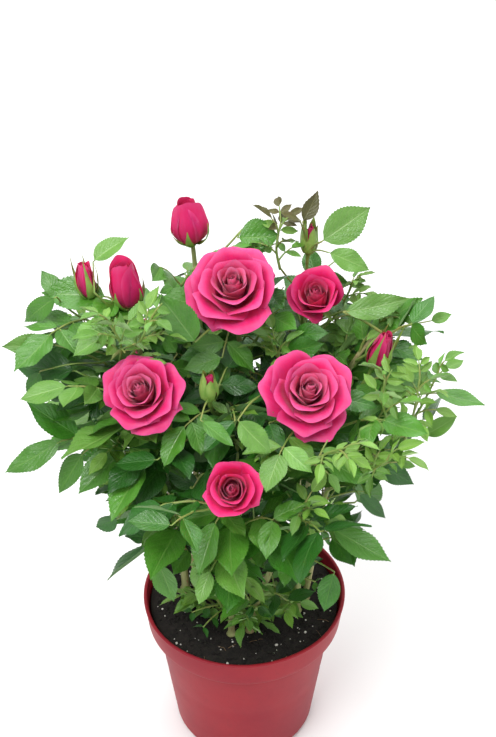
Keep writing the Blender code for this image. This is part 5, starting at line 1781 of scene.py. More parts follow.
@dataclass
class Foliage:
    """All leaves: leaflets dealt out by tint, one piece each, and their stalks."""

    form: LeafletForm = LeafletForm()
    small_form: LeafletForm = LeafletForm(stations=19, columns=(-1.0, -0.5, 0.0, 0.5, 1.0))
    stalk_radius: float = 0.00060
    stalk_foot: float = 1.5
    low_size: float = 0.54
    small_below: float = 0.019
    roll: float = 17.0
    bronze_at: tuple[float, float, float] = (145, 0.055, 0.245)
    bronze_reach: float = 0.022
    front: float = 65.0
    front_height: float = 0.092
    front_size: float = 0.60
    front_share: float = 0.74
    # Painted light and painted shade: these set a leaf's tint lighter towards the crown's skin and top and darker
    # within it and low, partly also for the leaves' age.
    light_by_skin: float = 0.55
    light_by_height: float = 1.6
    light_spread: float = 0.22
    lightest: tuple[tuple[Tint, float], ...] = (
        (Tint.DARK, 0.44), (Tint.DEEP, 0.66), (Tint.MID, 0.90), (Tint.LIGHT, 1.34),
    )
    least_reach: float = 0.03
    young_tints: tuple[Tint, ...] = (Tint.TENDER, Tint.TENDER, Tint.LIGHT)
    youth: tuple[float, float] = (0.5, 1.0)
    looked_at: tuple[float, ...] = (0.2, 0.6, 1.0)
    stalk_sides: int = 7
    stalk_range: tuple[float, float] = (0.6, 1.2)
    leaflet_stalk: float = 0.045
    leaflet_stalk_slim: float = 0.8
    leaflet_stalk_sides: int = 5
    heaps: dict[Tint, Heap] = field(default_factory=lambda: {tint: Heap() for tint in Tint})
    stalks: Heap = field(default_factory=Heap)

    def build(self, bush: Bush) -> None:
        """Builds every leaf of the bush that hangs over no flower.

        Args:
            bush: The grown bush.
        """
        for mass in sorted(bush.leaves):
            size = self.low_size if mass.startswith("low_") else 1.0
            for k, leaf in enumerate(bush.leaves[mass]):
                rng = random.Random(f"{mass}/leaf/{k}")
                leaf = self.thinned(self.trimmed(leaf, bush.room, size), rng)
                if leaf.blades:
                    self.add_leaf(leaf, self.tint_of(leaf, rng), 0.0, rng)
        for k, leaf in enumerate(bush.young):
            rng = random.Random(f"young leaf {k}")
            leaf = self.trimmed(leaf, bush.room, 1.0)
            tint = rng.choice(self.young_tints)
            if leaf.blades:
                near = (leaf.stalk[0] - place(*self.bronze_at)).length < self.bronze_reach
                self.add_leaf(leaf, Tint.BRONZE if near else tint, rng.uniform(*self.youth), rng)
        for k, (leaf, tint) in enumerate(bush.shown):
            self.add_leaf(leaf, tint, 0.0, random.Random(f"shown leaf {k}"))

    def trimmed(self, leaf: Leaf, room: Room, size: float) -> Leaf:
        """The leaf at its size, without the leaflets that would hang over a flower."""
        blades = [blade.scaled(size) for blade in leaf.blades]
        return Leaf(leaf.stalk, [b for b in blades if not any(room.hides_flower(b.at(s)) for s in self.looked_at)])

    def thinned(self, leaf: Leaf, rng: random.Random) -> Leaf:
        """The leaf without the leaflets that stand in a clearing, and smaller or gone low in front.

        Args:
            leaf: The leaf.
            rng: What the random values are drawn from.

        Returns:
            What is left of the leaf.
        """
        blades = [blade for blade in leaf.blades if not in_clearing(blade.at(1.0))]
        if not blades or blades[-1] is not leaf.blades[-1]:
            return Leaf(leaf.stalk, [])
        tip = blades[-1].at(1.0)
        if abs(bearing_of(tip)) < self.front and tip.z < SIZES.soil_level + self.front_height:
            kept = rng.random() <= self.front_share
            blades = [blade.scaled(self.front_size) for blade in blades if kept]
        return Leaf(leaf.stalk, blades)

    def tint_of(self, leaf: Leaf, rng: random.Random) -> Tint:
        """The tint of a leaf: lighter towards the crown's skin and top, darker within and low, partly for the leaves'
        own age and partly as painted light and painted shade.

        Args:
            leaf: The leaf.
            rng: What the random values are drawn from.

        Returns:
            The tint.
        """
        tip = leaf.blades[-1].at(1.0)
        height = tip.z - SIZES.soil_level
        skin = math.hypot(tip.x, tip.y) / max(self.least_reach, crown_reach(height))
        light = self.light_by_skin * skin + self.light_by_height * height + rng.gauss(0, self.light_spread)
        return next((tint for tint, most in self.lightest if light < most), Tint.TENDER)

    def add_leaf(self, leaf: Leaf, tint: Tint, youth: float, rng: random.Random) -> None:
        """Adds one leaf: its stalk, its leaflets and the short stalks between them.

        Args:
            leaf: The leaf.
            tint: Its tint.
            youth: How far it is still folded, 0 to 1.
            rng: What the random values are drawn from.
        """
        path, radii = smoothed(leaf.stalk, taper(leaf.stalk, self.stalk_foot, 1.0), 5)
        thinnest, thickest = self.stalk_range
        thick = self.stalk_radius * min(thickest, max(thinnest, leaf.blades[-1].length / SIZES.leaflet_length))
        thin = np.full(3, thick * self.leaflet_stalk_slim)
        self.stalks.add_tube(path, radii * thick, self.stalk_sides)
        for blade in leaf.blades:
            start = Vector(min(path, key=lambda p: (Vector(p) - blade.root).length))
            gap = self.leaflet_stalk * blade.length
            foot = start + blade.along * gap
            self.stalks.add_tube(rows_of([start, foot, foot + blade.along * gap]), thin, self.leaflet_stalk_sides)
            normal = spun(blade.normal, rng.gauss(0, self.roll), blade.along)
            set_out = blade._replace(root=foot, length=blade.length - gap, normal=normal)
            form = self.small_form if blade.length < self.small_below else self.form
            low, high = np.array(SOLID_BOX)
            grid = np.clip(form.grid(set_out, rng, youth), low - FINE.proud, high + FINE.proud)
            self.heaps[tint].add_sheet(grid, form.places(rng.randrange(form.cells**2)))

    def dress(self, finishes: dict[Tint, Material], stalk: Material, nodes: list[str]) -> None:
        """Makes the pieces: one of leaflets for each tint, and one of leaf stalks.

        Args:
            finishes: The finish of each tint.
            stalk: The stalks' finish.
            nodes: The solids that the pieces stand for.
        """
        for tint, heap in self.heaps.items():
            if heap.count:
                heap.piece(f"leaves_{tint.value}", finishes[tint], *nodes)
        self.stalks.piece("leaf_stalks", stalk, *nodes)


# ---------------- canes and shoots


@dataclass
class Stems:
    """The canes with their bark, the green shoots and twigs, their prickles, and the flower stalks."""

    cane_sides: int = 14
    shoot_sides: int = 9
    cuts: int = 5
    slim: float = 0.92
    bark: float = 0.10
    prickle_spacing: float = 0.020
    prickle_slip: float = 0.3
    prickle_length: float = 0.0024
    prickle_range: tuple[float, float] = (0.6, 1.1)
    prickle_droop: float = 0.35
    prickle_shape: tuple[float, float, float] = (0.28, 0.16, 0.02)
    prickly_from: int = 30
    smooth_foot: float = 0.012
    canes: Heap = field(default_factory=Heap)
    shoots: Heap = field(default_factory=Heap)
    prickles: Heap = field(default_factory=Heap)

    def build(self, bush: Bush) -> None:
        """Builds every stem of the bush.

        Args:
            bush: The grown bush.
        """
        for mass, cane in bush.leaders.items():
            path, radii = smoothed(cane.points, cane.radii, self.cuts)
            self.canes.add_tube(path, radii * self.slim, self.cane_sides, self.bark)
            self._add_prickles(mass, path, radii)
        for mass, group in bush.stems.items():
            for i, stem in enumerate(group):
                if i == 0 and mass in bush.leaders:
                    continue
                path, radii = smoothed(stem.points, stem.radii, self.cuts)
                self.shoots.add_tube(path, radii * self.slim, self.shoot_sides)
                if len(path) > self.prickly_from:
                    self._add_prickles(f"{mass}/{i}", path, radii * self.slim)
        for stem in bush.young_stems:
            self.shoots.add_tube(*smoothed(stem.points, stem.radii, self.cuts), self.shoot_sides)

    def _add_prickles(self, label: str, path: np.ndarray, radii: np.ndarray) -> None:
        """Adds small prickles that point a little down, round a stem.

        Args:
            label: The stem's name, for the random draws.
            path: The stem's middle.
            radii: Its radius at each point.
        """
        rng = random.Random(f"prickles {label}")
        points = [Vector(p) for p in path]
        for k in range(1, int(path_length(points) / self.prickle_spacing)):
            slip = rng.uniform(-self.prickle_slip, self.prickle_slip)
            at, way = point_on(points, (k + slip) * self.prickle_spacing)
            if at.z < SIZES.soil_level + self.smooth_foot:
                continue
            radius = float(np.interp(at.z, path[:, 2], radii)) if path[-1, 2] > path[0, 2] else radii[-1]
            out = spun(sideways(way), rng.uniform(0, 360), way)
            length = self.prickle_length * rng.uniform(*self.prickle_range) * min(1.0, radius / SIZES.fork_radius)
            tip_way = (out - way * self.prickle_droop).normalized()
            skin = at + out * radius
            spine = [at + out * radius * 0.6, skin + tip_way * length * 0.4, skin + tip_way * length]
            self.prickles.add_tube(rows_of(spine), np.array(self.prickle_shape) * length, 6)

    def dress(self, bark: Material, green: Material, thorn: Material, bush: Bush) -> None:
        """Makes the pieces: canes, shoots and prickles.

        Args:
            bark: The canes' finish.
            green: The shoots' finish.
            thorn: The prickles' finish.
            bush: The grown bush.
        """
        self.canes.piece("canes", bark, *(f"cane_{mass}" for mass in bush.canes), slot="cane")
        self.shoots.piece("shoots", green, *(f"foliage_{mass}" for mass in bush.stems), slot="foliage")
        self.prickles.piece("prickles", thorn, slot="cane")


# ---------------- roses and buds


class Whorl(NamedTuple):
    """A petal's shape at one stage between the heart, 0, and the outermost, 1.

    The leans are degrees from the flower's axis at its foot, low down, high up and at its edge, and the
    sizes are shares of the flower's width.
    """

    share: float
    leans: tuple[float, float, float, float]
    length: float
    half_width: float


@dataclass(frozen=True)
class BloomForm:
    """How far a flower has opened: its petals from the heart outwards, its sepals, and its height to its width."""

    petals: int
    whorls: tuple[Whorl, ...]
    sepal_length: float
    sepal_width: float
    sepal_lean: tuple[float, float, float, float]
    tallest: float
    sepal_shape: tuple[float, ...] = (0.62, 0.92, 1.0, 0.58, 0.20, 0.03)
    fullness: float = 0.95

    def stage(self, share: float) -> tuple[list[float], float, float]:
        """The leans, length and half width of the petal at a share of the way out.

        Args:
            share: Where the petal stands, from 0 at the heart to 1 outside.

        Returns:
            The leans, the length and the half width.
        """
        shares = [whorl.share for whorl in self.whorls]
        leans = [float(np.interp(share, shares, [w.leans[k] for w in self.whorls])) for k in range(4)]
        length = float(np.interp(share, shares, [w.length for w in self.whorls]))
        return leans, length, float(np.interp(share, shares, [w.half_width for w in self.whorls]))


FORMS: dict[Ending, BloomForm] = {
    Ending.OPEN: BloomForm(
        27,
        (
            Whorl(0.0, (26, 6, -14, -36), 0.46, 0.11),
            Whorl(0.30, (44, 13, -8, 22), 0.485, 0.21),
            Whorl(0.62, (62, 34, 6, 78), 0.50, 0.31),
            Whorl(1.0, (86, 74, 58, 124), 0.54, 0.38),
        ),
        0.30, 0.8, (92, 112, 128, 150), 0.52,
    ),
    Ending.CUP: BloomForm(
        19,
        (
            Whorl(0.0, (28, 6, -12, -30), 0.66, 0.14),
            Whorl(0.40, (46, 12, -6, 6), 0.69, 0.28),
            Whorl(0.75, (60, 22, 2, 46), 0.70, 0.42),
            Whorl(1.0, (74, 40, 16, 92), 0.70, 0.52),
        ),
        0.42, 0.8, (84, 96, 112, 140), 0.76,
    ),
    Ending.BUD: BloomForm(
        10,
        (
            Whorl(0.0, (40, 8, -14, -24), 1.06, 0.34),
            Whorl(0.5, (60, 17, -12, -20), 1.22, 0.50),
            Whorl(1.0, (76, 22, -12, 6), 1.30, 0.64),
        ),
        0.86, 1.0, (66, 24, 4, 76), 1.51, fullness=0.88,
    ),
    Ending.SMALL_BUD: BloomForm(
        9,
        (Whorl(0.0, (44, 12, -16, -14), 1.50, 0.40), Whorl(1.0, (68, 20, -14, -8), 1.46, 0.58)),
        2.3, 1.0, (60, 16, -6, -4), 2.0, fullness=0.9,
    ),
    Ending.GREEN_BUD: BloomForm(
        5,
        (Whorl(0.0, (48, 14, -20, -16), 1.25, 0.34), Whorl(1.0, (70, 20, -20, -14), 1.15, 0.44)),
        2.15, 1.9, (72, 14, -12, -4), 1.8, (0.7, 0.95, 1.0, 0.94, 0.62, 0.04), 1.0,
    ),
}
LEAN_AT = (0.0, 0.22, 0.70, 1.0)


@dataclass
class Blooms:
    """Every rose and bud: petals in a spiral, the hip and sepals under them, and the stalk's end."""

    rows: int = 21
    columns: int = 17
    cells: int = 4
    turn: float = 137.5
    foot: tuple[float, float] = (0.015, 0.055)
    tightest_curl: tuple[float, float] = (0.040, 0.20)
    most_wrap: float = 2.5
    corner: float = 0.30
    corner_power: float = 2.3
    skew: float = 0.10
    point: float = 0.03
    point_width: float = 0.16
    lean_slip: tuple[float, float] = (9, 20)
    length_range: tuple[float, float] = (0.94, 1.05)
    width_range: tuple[float, float] = (0.92, 1.08)
    samples: int = 70
    soften: int = 6
    least_radius: float = 0.006
    foot_width: float = 0.30
    broadest: float = 0.60
    open_curl: float = 0.45
    opening: float = 1.4
    edge_roll: float = 0.26
    ruffle: float = 0.012
    ruffle_pace: float = 2.3
    ruffle_least: float = 0.4
    tuck: float = 0.018
    turn_slip: float = 14.0
    tilt_back: float = 11.0
    sepal_gap: float = 0.0003
    hip_share: float = 0.09
    least_hip: float = 0.0012
    sepal_count: int = 5
    sepal_slip: float = 8
    sepal_range: tuple[float, float] = (0.85, 1.12)
    sepal_lean_slip: float = 6
    sepal_hollow: float = 0.30
    green_slim: float = 1.25
    green: Heap = field(default_factory=Heap)
    sepals: Heap = field(default_factory=Heap)
    closed: Heap = field(default_factory=Heap)

    def petal(self, form: BloomForm, share: float, turn: float, width: float, rng: random.Random) -> np.ndarray:
        """The points of one petal, upright on the origin.

        Args:
            form: How far the flower is open.
            share: From 0 for the innermost petal to 1 for the outermost.
            turn: Its turn about the flower's axis, in degrees.
            width: The flower's width.
            rng: The source of its own small differences.

        Returns:
            Rows of points from its foot to its edge.
        """
        opened = share**self.opening
        s = np.linspace(0, 1, self.rows)[:, None]
        a = np.linspace(-1, 1, self.columns)[None, :]
        off = a - rng.uniform(-self.skew, self.skew)
        top = 1 - self.corner * np.abs(off) ** self.corner_power
        along = s * (top + self.point * share * np.exp(-((off / self.point_width) ** 2)))
        leans, length, half_width = form.stage(share)
        for k, slip in zip((2, 3), self.lean_slip):
            leans[k] += rng.uniform(-slip, slip) * share
        fine = np.linspace(0, 1.08, self.samples)
        lean = np.radians(np.interp(fine, LEAN_AT, leans))
        window = 2 * self.soften + 1
        lean = np.convolve(np.pad(lean, self.soften, mode="edge"), np.ones(window) / window, mode="valid")
        length *= width * rng.uniform(*self.length_range)
        run = length * (fine[1] - fine[0])
        radius = width * blend(*self.foot, share) + np.concatenate([[0], np.cumsum(np.sin(lean[:-1]) * run)])
        height = np.concatenate([[0], np.cumsum(np.cos(lean[:-1]) * run)])
        r = np.maximum(np.interp(along, fine, radius), self.least_radius * width)
        z = np.interp(along, fine, height)
        broadening = blend(self.foot_width, 1.0, np.sin(math.pi / 2 * np.minimum(1, along / self.broadest)))
        half = width * half_width * rng.uniform(*self.width_range) * broadening
        curl = np.maximum(r * (1 + self.open_curl * share), width * blend(*self.tightest_curl, opened))
        wrap = np.clip(a * half / curl, -self.most_wrap, self.most_wrap)
        over = np.clip((np.abs(a) - 0.5) / 0.5, 0, 1) ** 2 * s**1.5
        phase = rng.uniform(0, ROUND)
        wave = np.sin(self.ruffle_pace * math.pi * a + phase) * s**2 * width * self.ruffle
        wave = wave * (self.ruffle_least + share)
        out = r - curl + curl * np.cos(wrap) - self.tuck * width * a + over * half * self.edge_roll * opened + wave
        z = z - over * half * self.edge_roll * 0.9 * opened + 0.5 * wave
        side = curl * np.sin(wrap)
        angle = math.radians(turn)
        x, y = out * math.cos(angle) - side * math.sin(angle), out * math.sin(angle) + side * math.cos(angle)
        return np.stack([x, y, z], axis=-1)

    def places(self, cell: int) -> np.ndarray:
        """Where each point lies on its petal, within one of the map's cells.

        Args:
            cell: The cell's number, from 0.

        Returns:
            The points' places, row by row.
        """
        s = np.linspace(0.02, 0.98, self.rows)[:, None] + np.zeros((1, self.columns))
        a = np.linspace(0.02, 0.98, self.columns)[None, :] + np.zeros((self.rows, 1))
        return (np.stack([s, a], axis=-1) + np.array(divmod(cell, self.cells))) / self.cells

    def sepal(self, form: BloomForm, width: float, hip: float, rng: random.Random) -> np.ndarray:
        """One sepal's points, out, sideways and up: narrow, drawn out to a thread, hollow to the flower.

        Args:
            form: How far the flower is open.
            width: The flower's width.
            hip: The hip's radius.
            rng: What the random values are drawn from.

        Returns:
            The points, row by row.
        """
        s = np.linspace(0, 1, 11)[:, None]
        a = np.linspace(-1, 1, 5)[None, :]
        length = width * form.sepal_length * rng.uniform(*self.sepal_range)
        shape = np.interp(s, (0, 0.12, 0.30, 0.55, 0.80, 1), form.sepal_shape)
        half = shape * min(0.17 * length + 0.0006, 0.62 * hip + 0.0008) * form.sepal_width
        fine = np.linspace(0, 1, 60)
        leans = [lean + rng.uniform(-self.sepal_lean_slip, self.sepal_lean_slip) for lean in form.sepal_lean]
        lean = np.radians(np.interp(fine, LEAN_AT, leans))
        radius = hip * 0.7 + np.concatenate([[0], np.cumsum(np.sin(lean[:-1]) * length / 59)])
        height = np.concatenate([[0], np.cumsum(np.cos(lean[:-1]) * length / 59)])
        r, z = np.interp(s, fine, radius), np.interp(s, fine, height)
        way = np.interp(s, fine, lean)
        lift = self.sepal_hollow * half * a**2
        return np.stack([r - lift * np.cos(way), a * half, z + lift * np.sin(way)], axis=-1)

    def hugging(self, sepal: np.ndarray, turn: float, petals: np.ndarray) -> np.ndarray:
        """The sepal bent round the flower's axis, turned, and pushed out to lie on the petals.

        Args:
            sepal: The sepal's points: out from the axis, sideways, and up.
            turn: Its turn about the axis, in degrees.
            petals: The petals' points.

        Returns:
            Its points in its place.
        """
        radius, level = np.linalg.norm(petals[:, :2], axis=1), petals[:, 2]
        levels = np.linspace(0, level.max(), 24)
        near = [radius[np.abs(level - z) < levels[1]] for z in levels]
        skin = np.array([found.max() if len(found) else 0.0 for found in near])
        out, side, z = sepal[..., 0], sepal[..., 1], sepal[..., 2]
        middle = sepal.shape[1] // 2
        level_z = z[:, middle : middle + 1]
        least = np.where(level_z > 0, np.interp(level_z, levels, skin) + self.sepal_gap, 0.0)
        reach = np.maximum(out[:, middle : middle + 1], least)
        hollow = np.where(reach > least, out - out[:, middle : middle + 1], 0.0)
        bend = side / np.maximum(reach, 0.0012) + math.radians(turn)
        return np.stack([(reach + hollow) * np.cos(bend), (reach + hollow) * np.sin(bend), z], axis=-1)

    def build(self, grown: Material, young: Material) -> None:
        """Builds every flower, each one's petals as a piece of its own in its solid's place, except the green buds',
        which all go into one shared piece.

        Args:
            grown: The finish of the open roses' petals.
            young: The finish of the other flowers' petals.
        """
        for shoot in SHOOTS:
            if shoot.ending is Ending.LEAFY:
                continue
            heap = self.closed if shoot.ending is Ending.GREEN_BUD else Heap()
            self._add_flower(shoot, FORMS[shoot.ending], heap)
            if heap is not self.closed:
                name = f"{ROSE_NAMES[shoot.ending]}_{shoot.mass}"
                finish = grown if shoot.ending is Ending.OPEN else young
                heap.piece(f"petals_{name}", finish, name, slot="petals")

    def _add_flower(self, shoot: Shoot, form: BloomForm, heap: Heap) -> None:
        """Adds one flower: its hip, its spiral of petals brought to its size, and its sepals.

        Args:
            shoot: Where it stands and how it faces.
            form: How far it is open.
            heap: What takes its petals.
        """
        rng = random.Random(f"flower {shoot.mass} {shoot.ending.value}")
        opened = form.tallest < 1
        back = self.tilt_back if shoot.ending is Ending.OPEN else 0.0
        frame, base = frame_of(facing(shoot.turned, shoot.tilt - back)), rows_of([bloom_base(shoot)])[0]
        hip = min(SIZES.hip_radius, self.hip_share * shoot.across + self.least_hip)
        self._add_hip(frame, base, hip)
        start, last = rng.uniform(0, 360), form.petals - 1
        petals = []
        for i in range(form.petals):
            turn = start + i * self.turn + rng.uniform(-self.turn_slip, self.turn_slip) * (i / last)
            petals.append(self.petal(form, i / last, turn, shoot.across, rng))
        skin = np.concatenate([grid.reshape(-1, 3) for grid in petals])
        wide = np.percentile(np.linalg.norm(skin[:, :2], axis=-1), 99.8 if opened else 97.0)
        wide *= self.green_slim if heap is self.closed else 1.0
        width = shoot.across / 2 / wide * form.fullness
        level = form.tallest * shoot.across / skin[:, 2].max()
        size = np.array([width, width, min(1.0, level) if opened else level])
        outer = self.cells**2 - 1
        for i, grid in enumerate(petals):
            # The cell tells how far out the petal stands; the petal finish reads it to lay painted light on the inner
            # petals, which buds, kept to the outer cells, hardly get.
            cell = round(i / last * outer) if opened else outer - (last - i) // 2
            heap.add_sheet(grid * size @ frame + base, self.places(cell))
        for k in range(self.sepal_count):
            grid = self.sepal(form, shoot.across, hip, rng)
            turn = start + 360 / self.sepal_count * k + rng.uniform(-self.sepal_slip, self.sepal_slip)
            grid = self.hugging(grid, turn, skin * size)
            self.sepals.add_sheet(grid @ frame + base, self.places(rng.randrange(16))[:11, 4:9])

    def _add_hip(self, frame: np.ndarray, base: np.ndarray, hip: float) -> None:
        """Adds the stalk's end and the hip, which swells under the petals and draws in at its neck.

        Args:
            frame: The flower's own axes.
            base: Where it stands.
            hip: The hip's radius.
        """
        stub = SIZES.stub_length * 1.6
        heights = np.array([-stub, -0.6 * stub, -0.35 * stub, -0.15 * stub, 0.0, 0.4 * hip, 0.8 * hip])
        radii = np.array([0.0010, 0.0010, 0.0012, 0.68 * hip, 0.95 * hip, 0.92 * hip, 0.66 * hip])
        path = np.stack([0 * heights, 0 * heights, heights], axis=-1)
        smooth, wide = smoothed([Vector(p) for p in path], radii, 3)
        self.green.add_tube(smooth @ frame + base, wide, 12)

    def dress(self, green: Material, sepal: Material, petal: Material) -> None:
        """Makes the pieces that all flowers share: hips, sepals and the petals inside closed buds.

        Args:
            green: The hips' finish.
            sepal: The sepals' finish.
            petal: The buds' petal finish.
        """
        self.green.piece("hips", green, slot="foliage")
        self.sepals.piece("sepals", sepal, slot="foliage")
        self.closed.piece("closed_buds", petal, slot="petals")


# ---------------- the pot and its soil


@dataclass
class Pot:
    """A thin moulded pot with a rolled lip, a collar that steps in softly, and a slightly wavy rim."""

    height: float = 0.106
    mouth_radius: float = 0.060
    foot_radius: float = 0.0395
    wall: float = 0.0013
    corner: float = 0.006
    collar_height: float = 0.018
    collar_step: float = 0.0050
    lip_overhang: float = 0.0010
    lip_height: float = 0.0016
    sides: int = 192
    lip_bead: tuple[float, float, float] = (0.0004, 0.0011, 0.0008)
    lip_groove: float = 0.0004
    inner_step: tuple[float, float] = (0.0014, 0.0008)
    inner_lip: float = 0.0006
    corner_width: float = 0.7
    collar_taper: float = 0.0012
    collar_swell: float = 0.00018
    step_foot: float = 0.0030
    step_drop: float = 0.0032
    step_rise: float = 0.0012
    step_depth: float = 0.0044
    body_inset: float = 0.0016
    band: float = 0.00022
    band_at: float = 0.46
    band_width: float = 0.0022
    foot_ring: tuple[float, float] = (0.0040, 0.0015)
    foot_hollow: float = 0.0009
    foot_middle: float = 0.006
    wavy_from: float = 0.030
    wavy: float = 0.00045
    rim_dip: float = 0.0009

    def wall_radius(self, height: float) -> float:
        """The outer radius of the tapered body under the collar.

        Args:
            height: The height above the pot's foot.

        Returns:
            The radius there.
        """
        collar_foot = self.height - self.collar_height
        share = (height - self.corner) / (collar_foot - self.corner)
        body_foot = self.foot_radius + self.corner * self.corner_width
        return body_foot + (self.mouth_radius - self.collar_step - self.body_inset - body_foot) * share

    def outline(self) -> list[tuple[float, float]]:
        """The whole section, from the middle of the floor inside, over the lip, to the middle beneath.

        Returns:
            Pairs of a radius and a height.
        """
        top, foot, mouth, wall = self.height, self.height - self.collar_height, self.mouth_radius, self.wall
        join, step_foot, edge = foot - self.step_foot, foot - self.step_drop, mouth - self.collar_taper
        inner = [(0.0, wall), (self.foot_radius - wall * 2, wall)]
        for share in np.linspace(0, 1, 12):
            level = self.corner + (join - self.corner) * share
            inner.append((self.wall_radius(level) - wall, level))
        inset, rise = self.inner_step
        inner += [(mouth - inset - wall, foot + rise), (mouth - wall, top - self.inner_lip)]
        out, across, high = self.lip_bead
        lip = []
        for turn in np.radians(range(150, -100, -25)):
            lip.append((mouth - wall / 2 + out + across * math.cos(turn), top - high + high * math.sin(turn)))
        collar = []
        for share in np.linspace(0, 1, 9):
            swell = self.collar_swell * math.sin(math.pi * share)
            level = top - self.lip_height - self.lip_groove - (self.collar_height - self.step_drop) * share
            collar.append((mouth - self.collar_taper * share + swell, level))
        step = []
        for share in np.linspace(0, 1, 8)[1:]:
            ease = share * share * (3 - 2 * share)
            level = foot + self.step_rise - self.step_depth * share
            step.append((edge + (self.wall_radius(join) - edge) * ease, level))
        body = []
        for share in np.linspace(0, 1, 22)[1:]:
            level = step_foot - (step_foot - self.corner) * share
            band = self.band * math.exp(-(((level - self.height * self.band_at) / self.band_width) ** 2))
            body.append((self.wall_radius(level) - band, level))
        heel = []
        for turn in np.radians((18, 36, 54, 72, 90)):
            bulge = self.wall_radius(self.corner) - self.corner * self.corner_width * (1 - math.cos(turn))
            heel.append((bulge, self.corner * (1 - math.sin(turn))))
        ring, hollow = self.foot_radius - self.foot_ring[0], self.foot_hollow
        under = [(ring, 0.0), (ring - self.foot_ring[1], hollow), (self.foot_middle, hollow), (0.0, hollow)]
        return inner + lip + collar + step + body + heel + under

    def build(self, finish: Material) -> bpy.types.Object:
        """Builds the pot as one turned skin, with its rim let a little out of true.

        Args:
            finish: The pot's finish.

        Returns:
            The pot.
        """
        section = np.array(self.outline())[1:-1]
        turn = np.linspace(0, 2 * math.pi, self.sides, endpoint=False)[None, :]
        radius, level = section[:, :1], section[:, 1:]
        high = eased(self.height - self.wavy_from, self.height, level)
        waves = np.sin(2 * turn + 0.7) + 0.6 * np.sin(3 * turn + 2.1) + 0.3 * np.sin(7 * turn)
        out_of_true = self.wavy * waves * high
        dip = self.rim_dip * (0.5 + 0.5 * np.sin(2 * turn + 1.9)) * high**3
        reach = np.minimum(radius + out_of_true - self.wavy * high, self.mouth_radius + self.lip_overhang)
        rings = np.stack([reach * np.cos(turn), reach * np.sin(turn), level - dip], axis=-1)
        heap = Heap()
        heap.add_rings(rings[:, ::-1], 0.0)
        return heap.piece("pot_shell", finish, "pot", slot="pot_plastic")


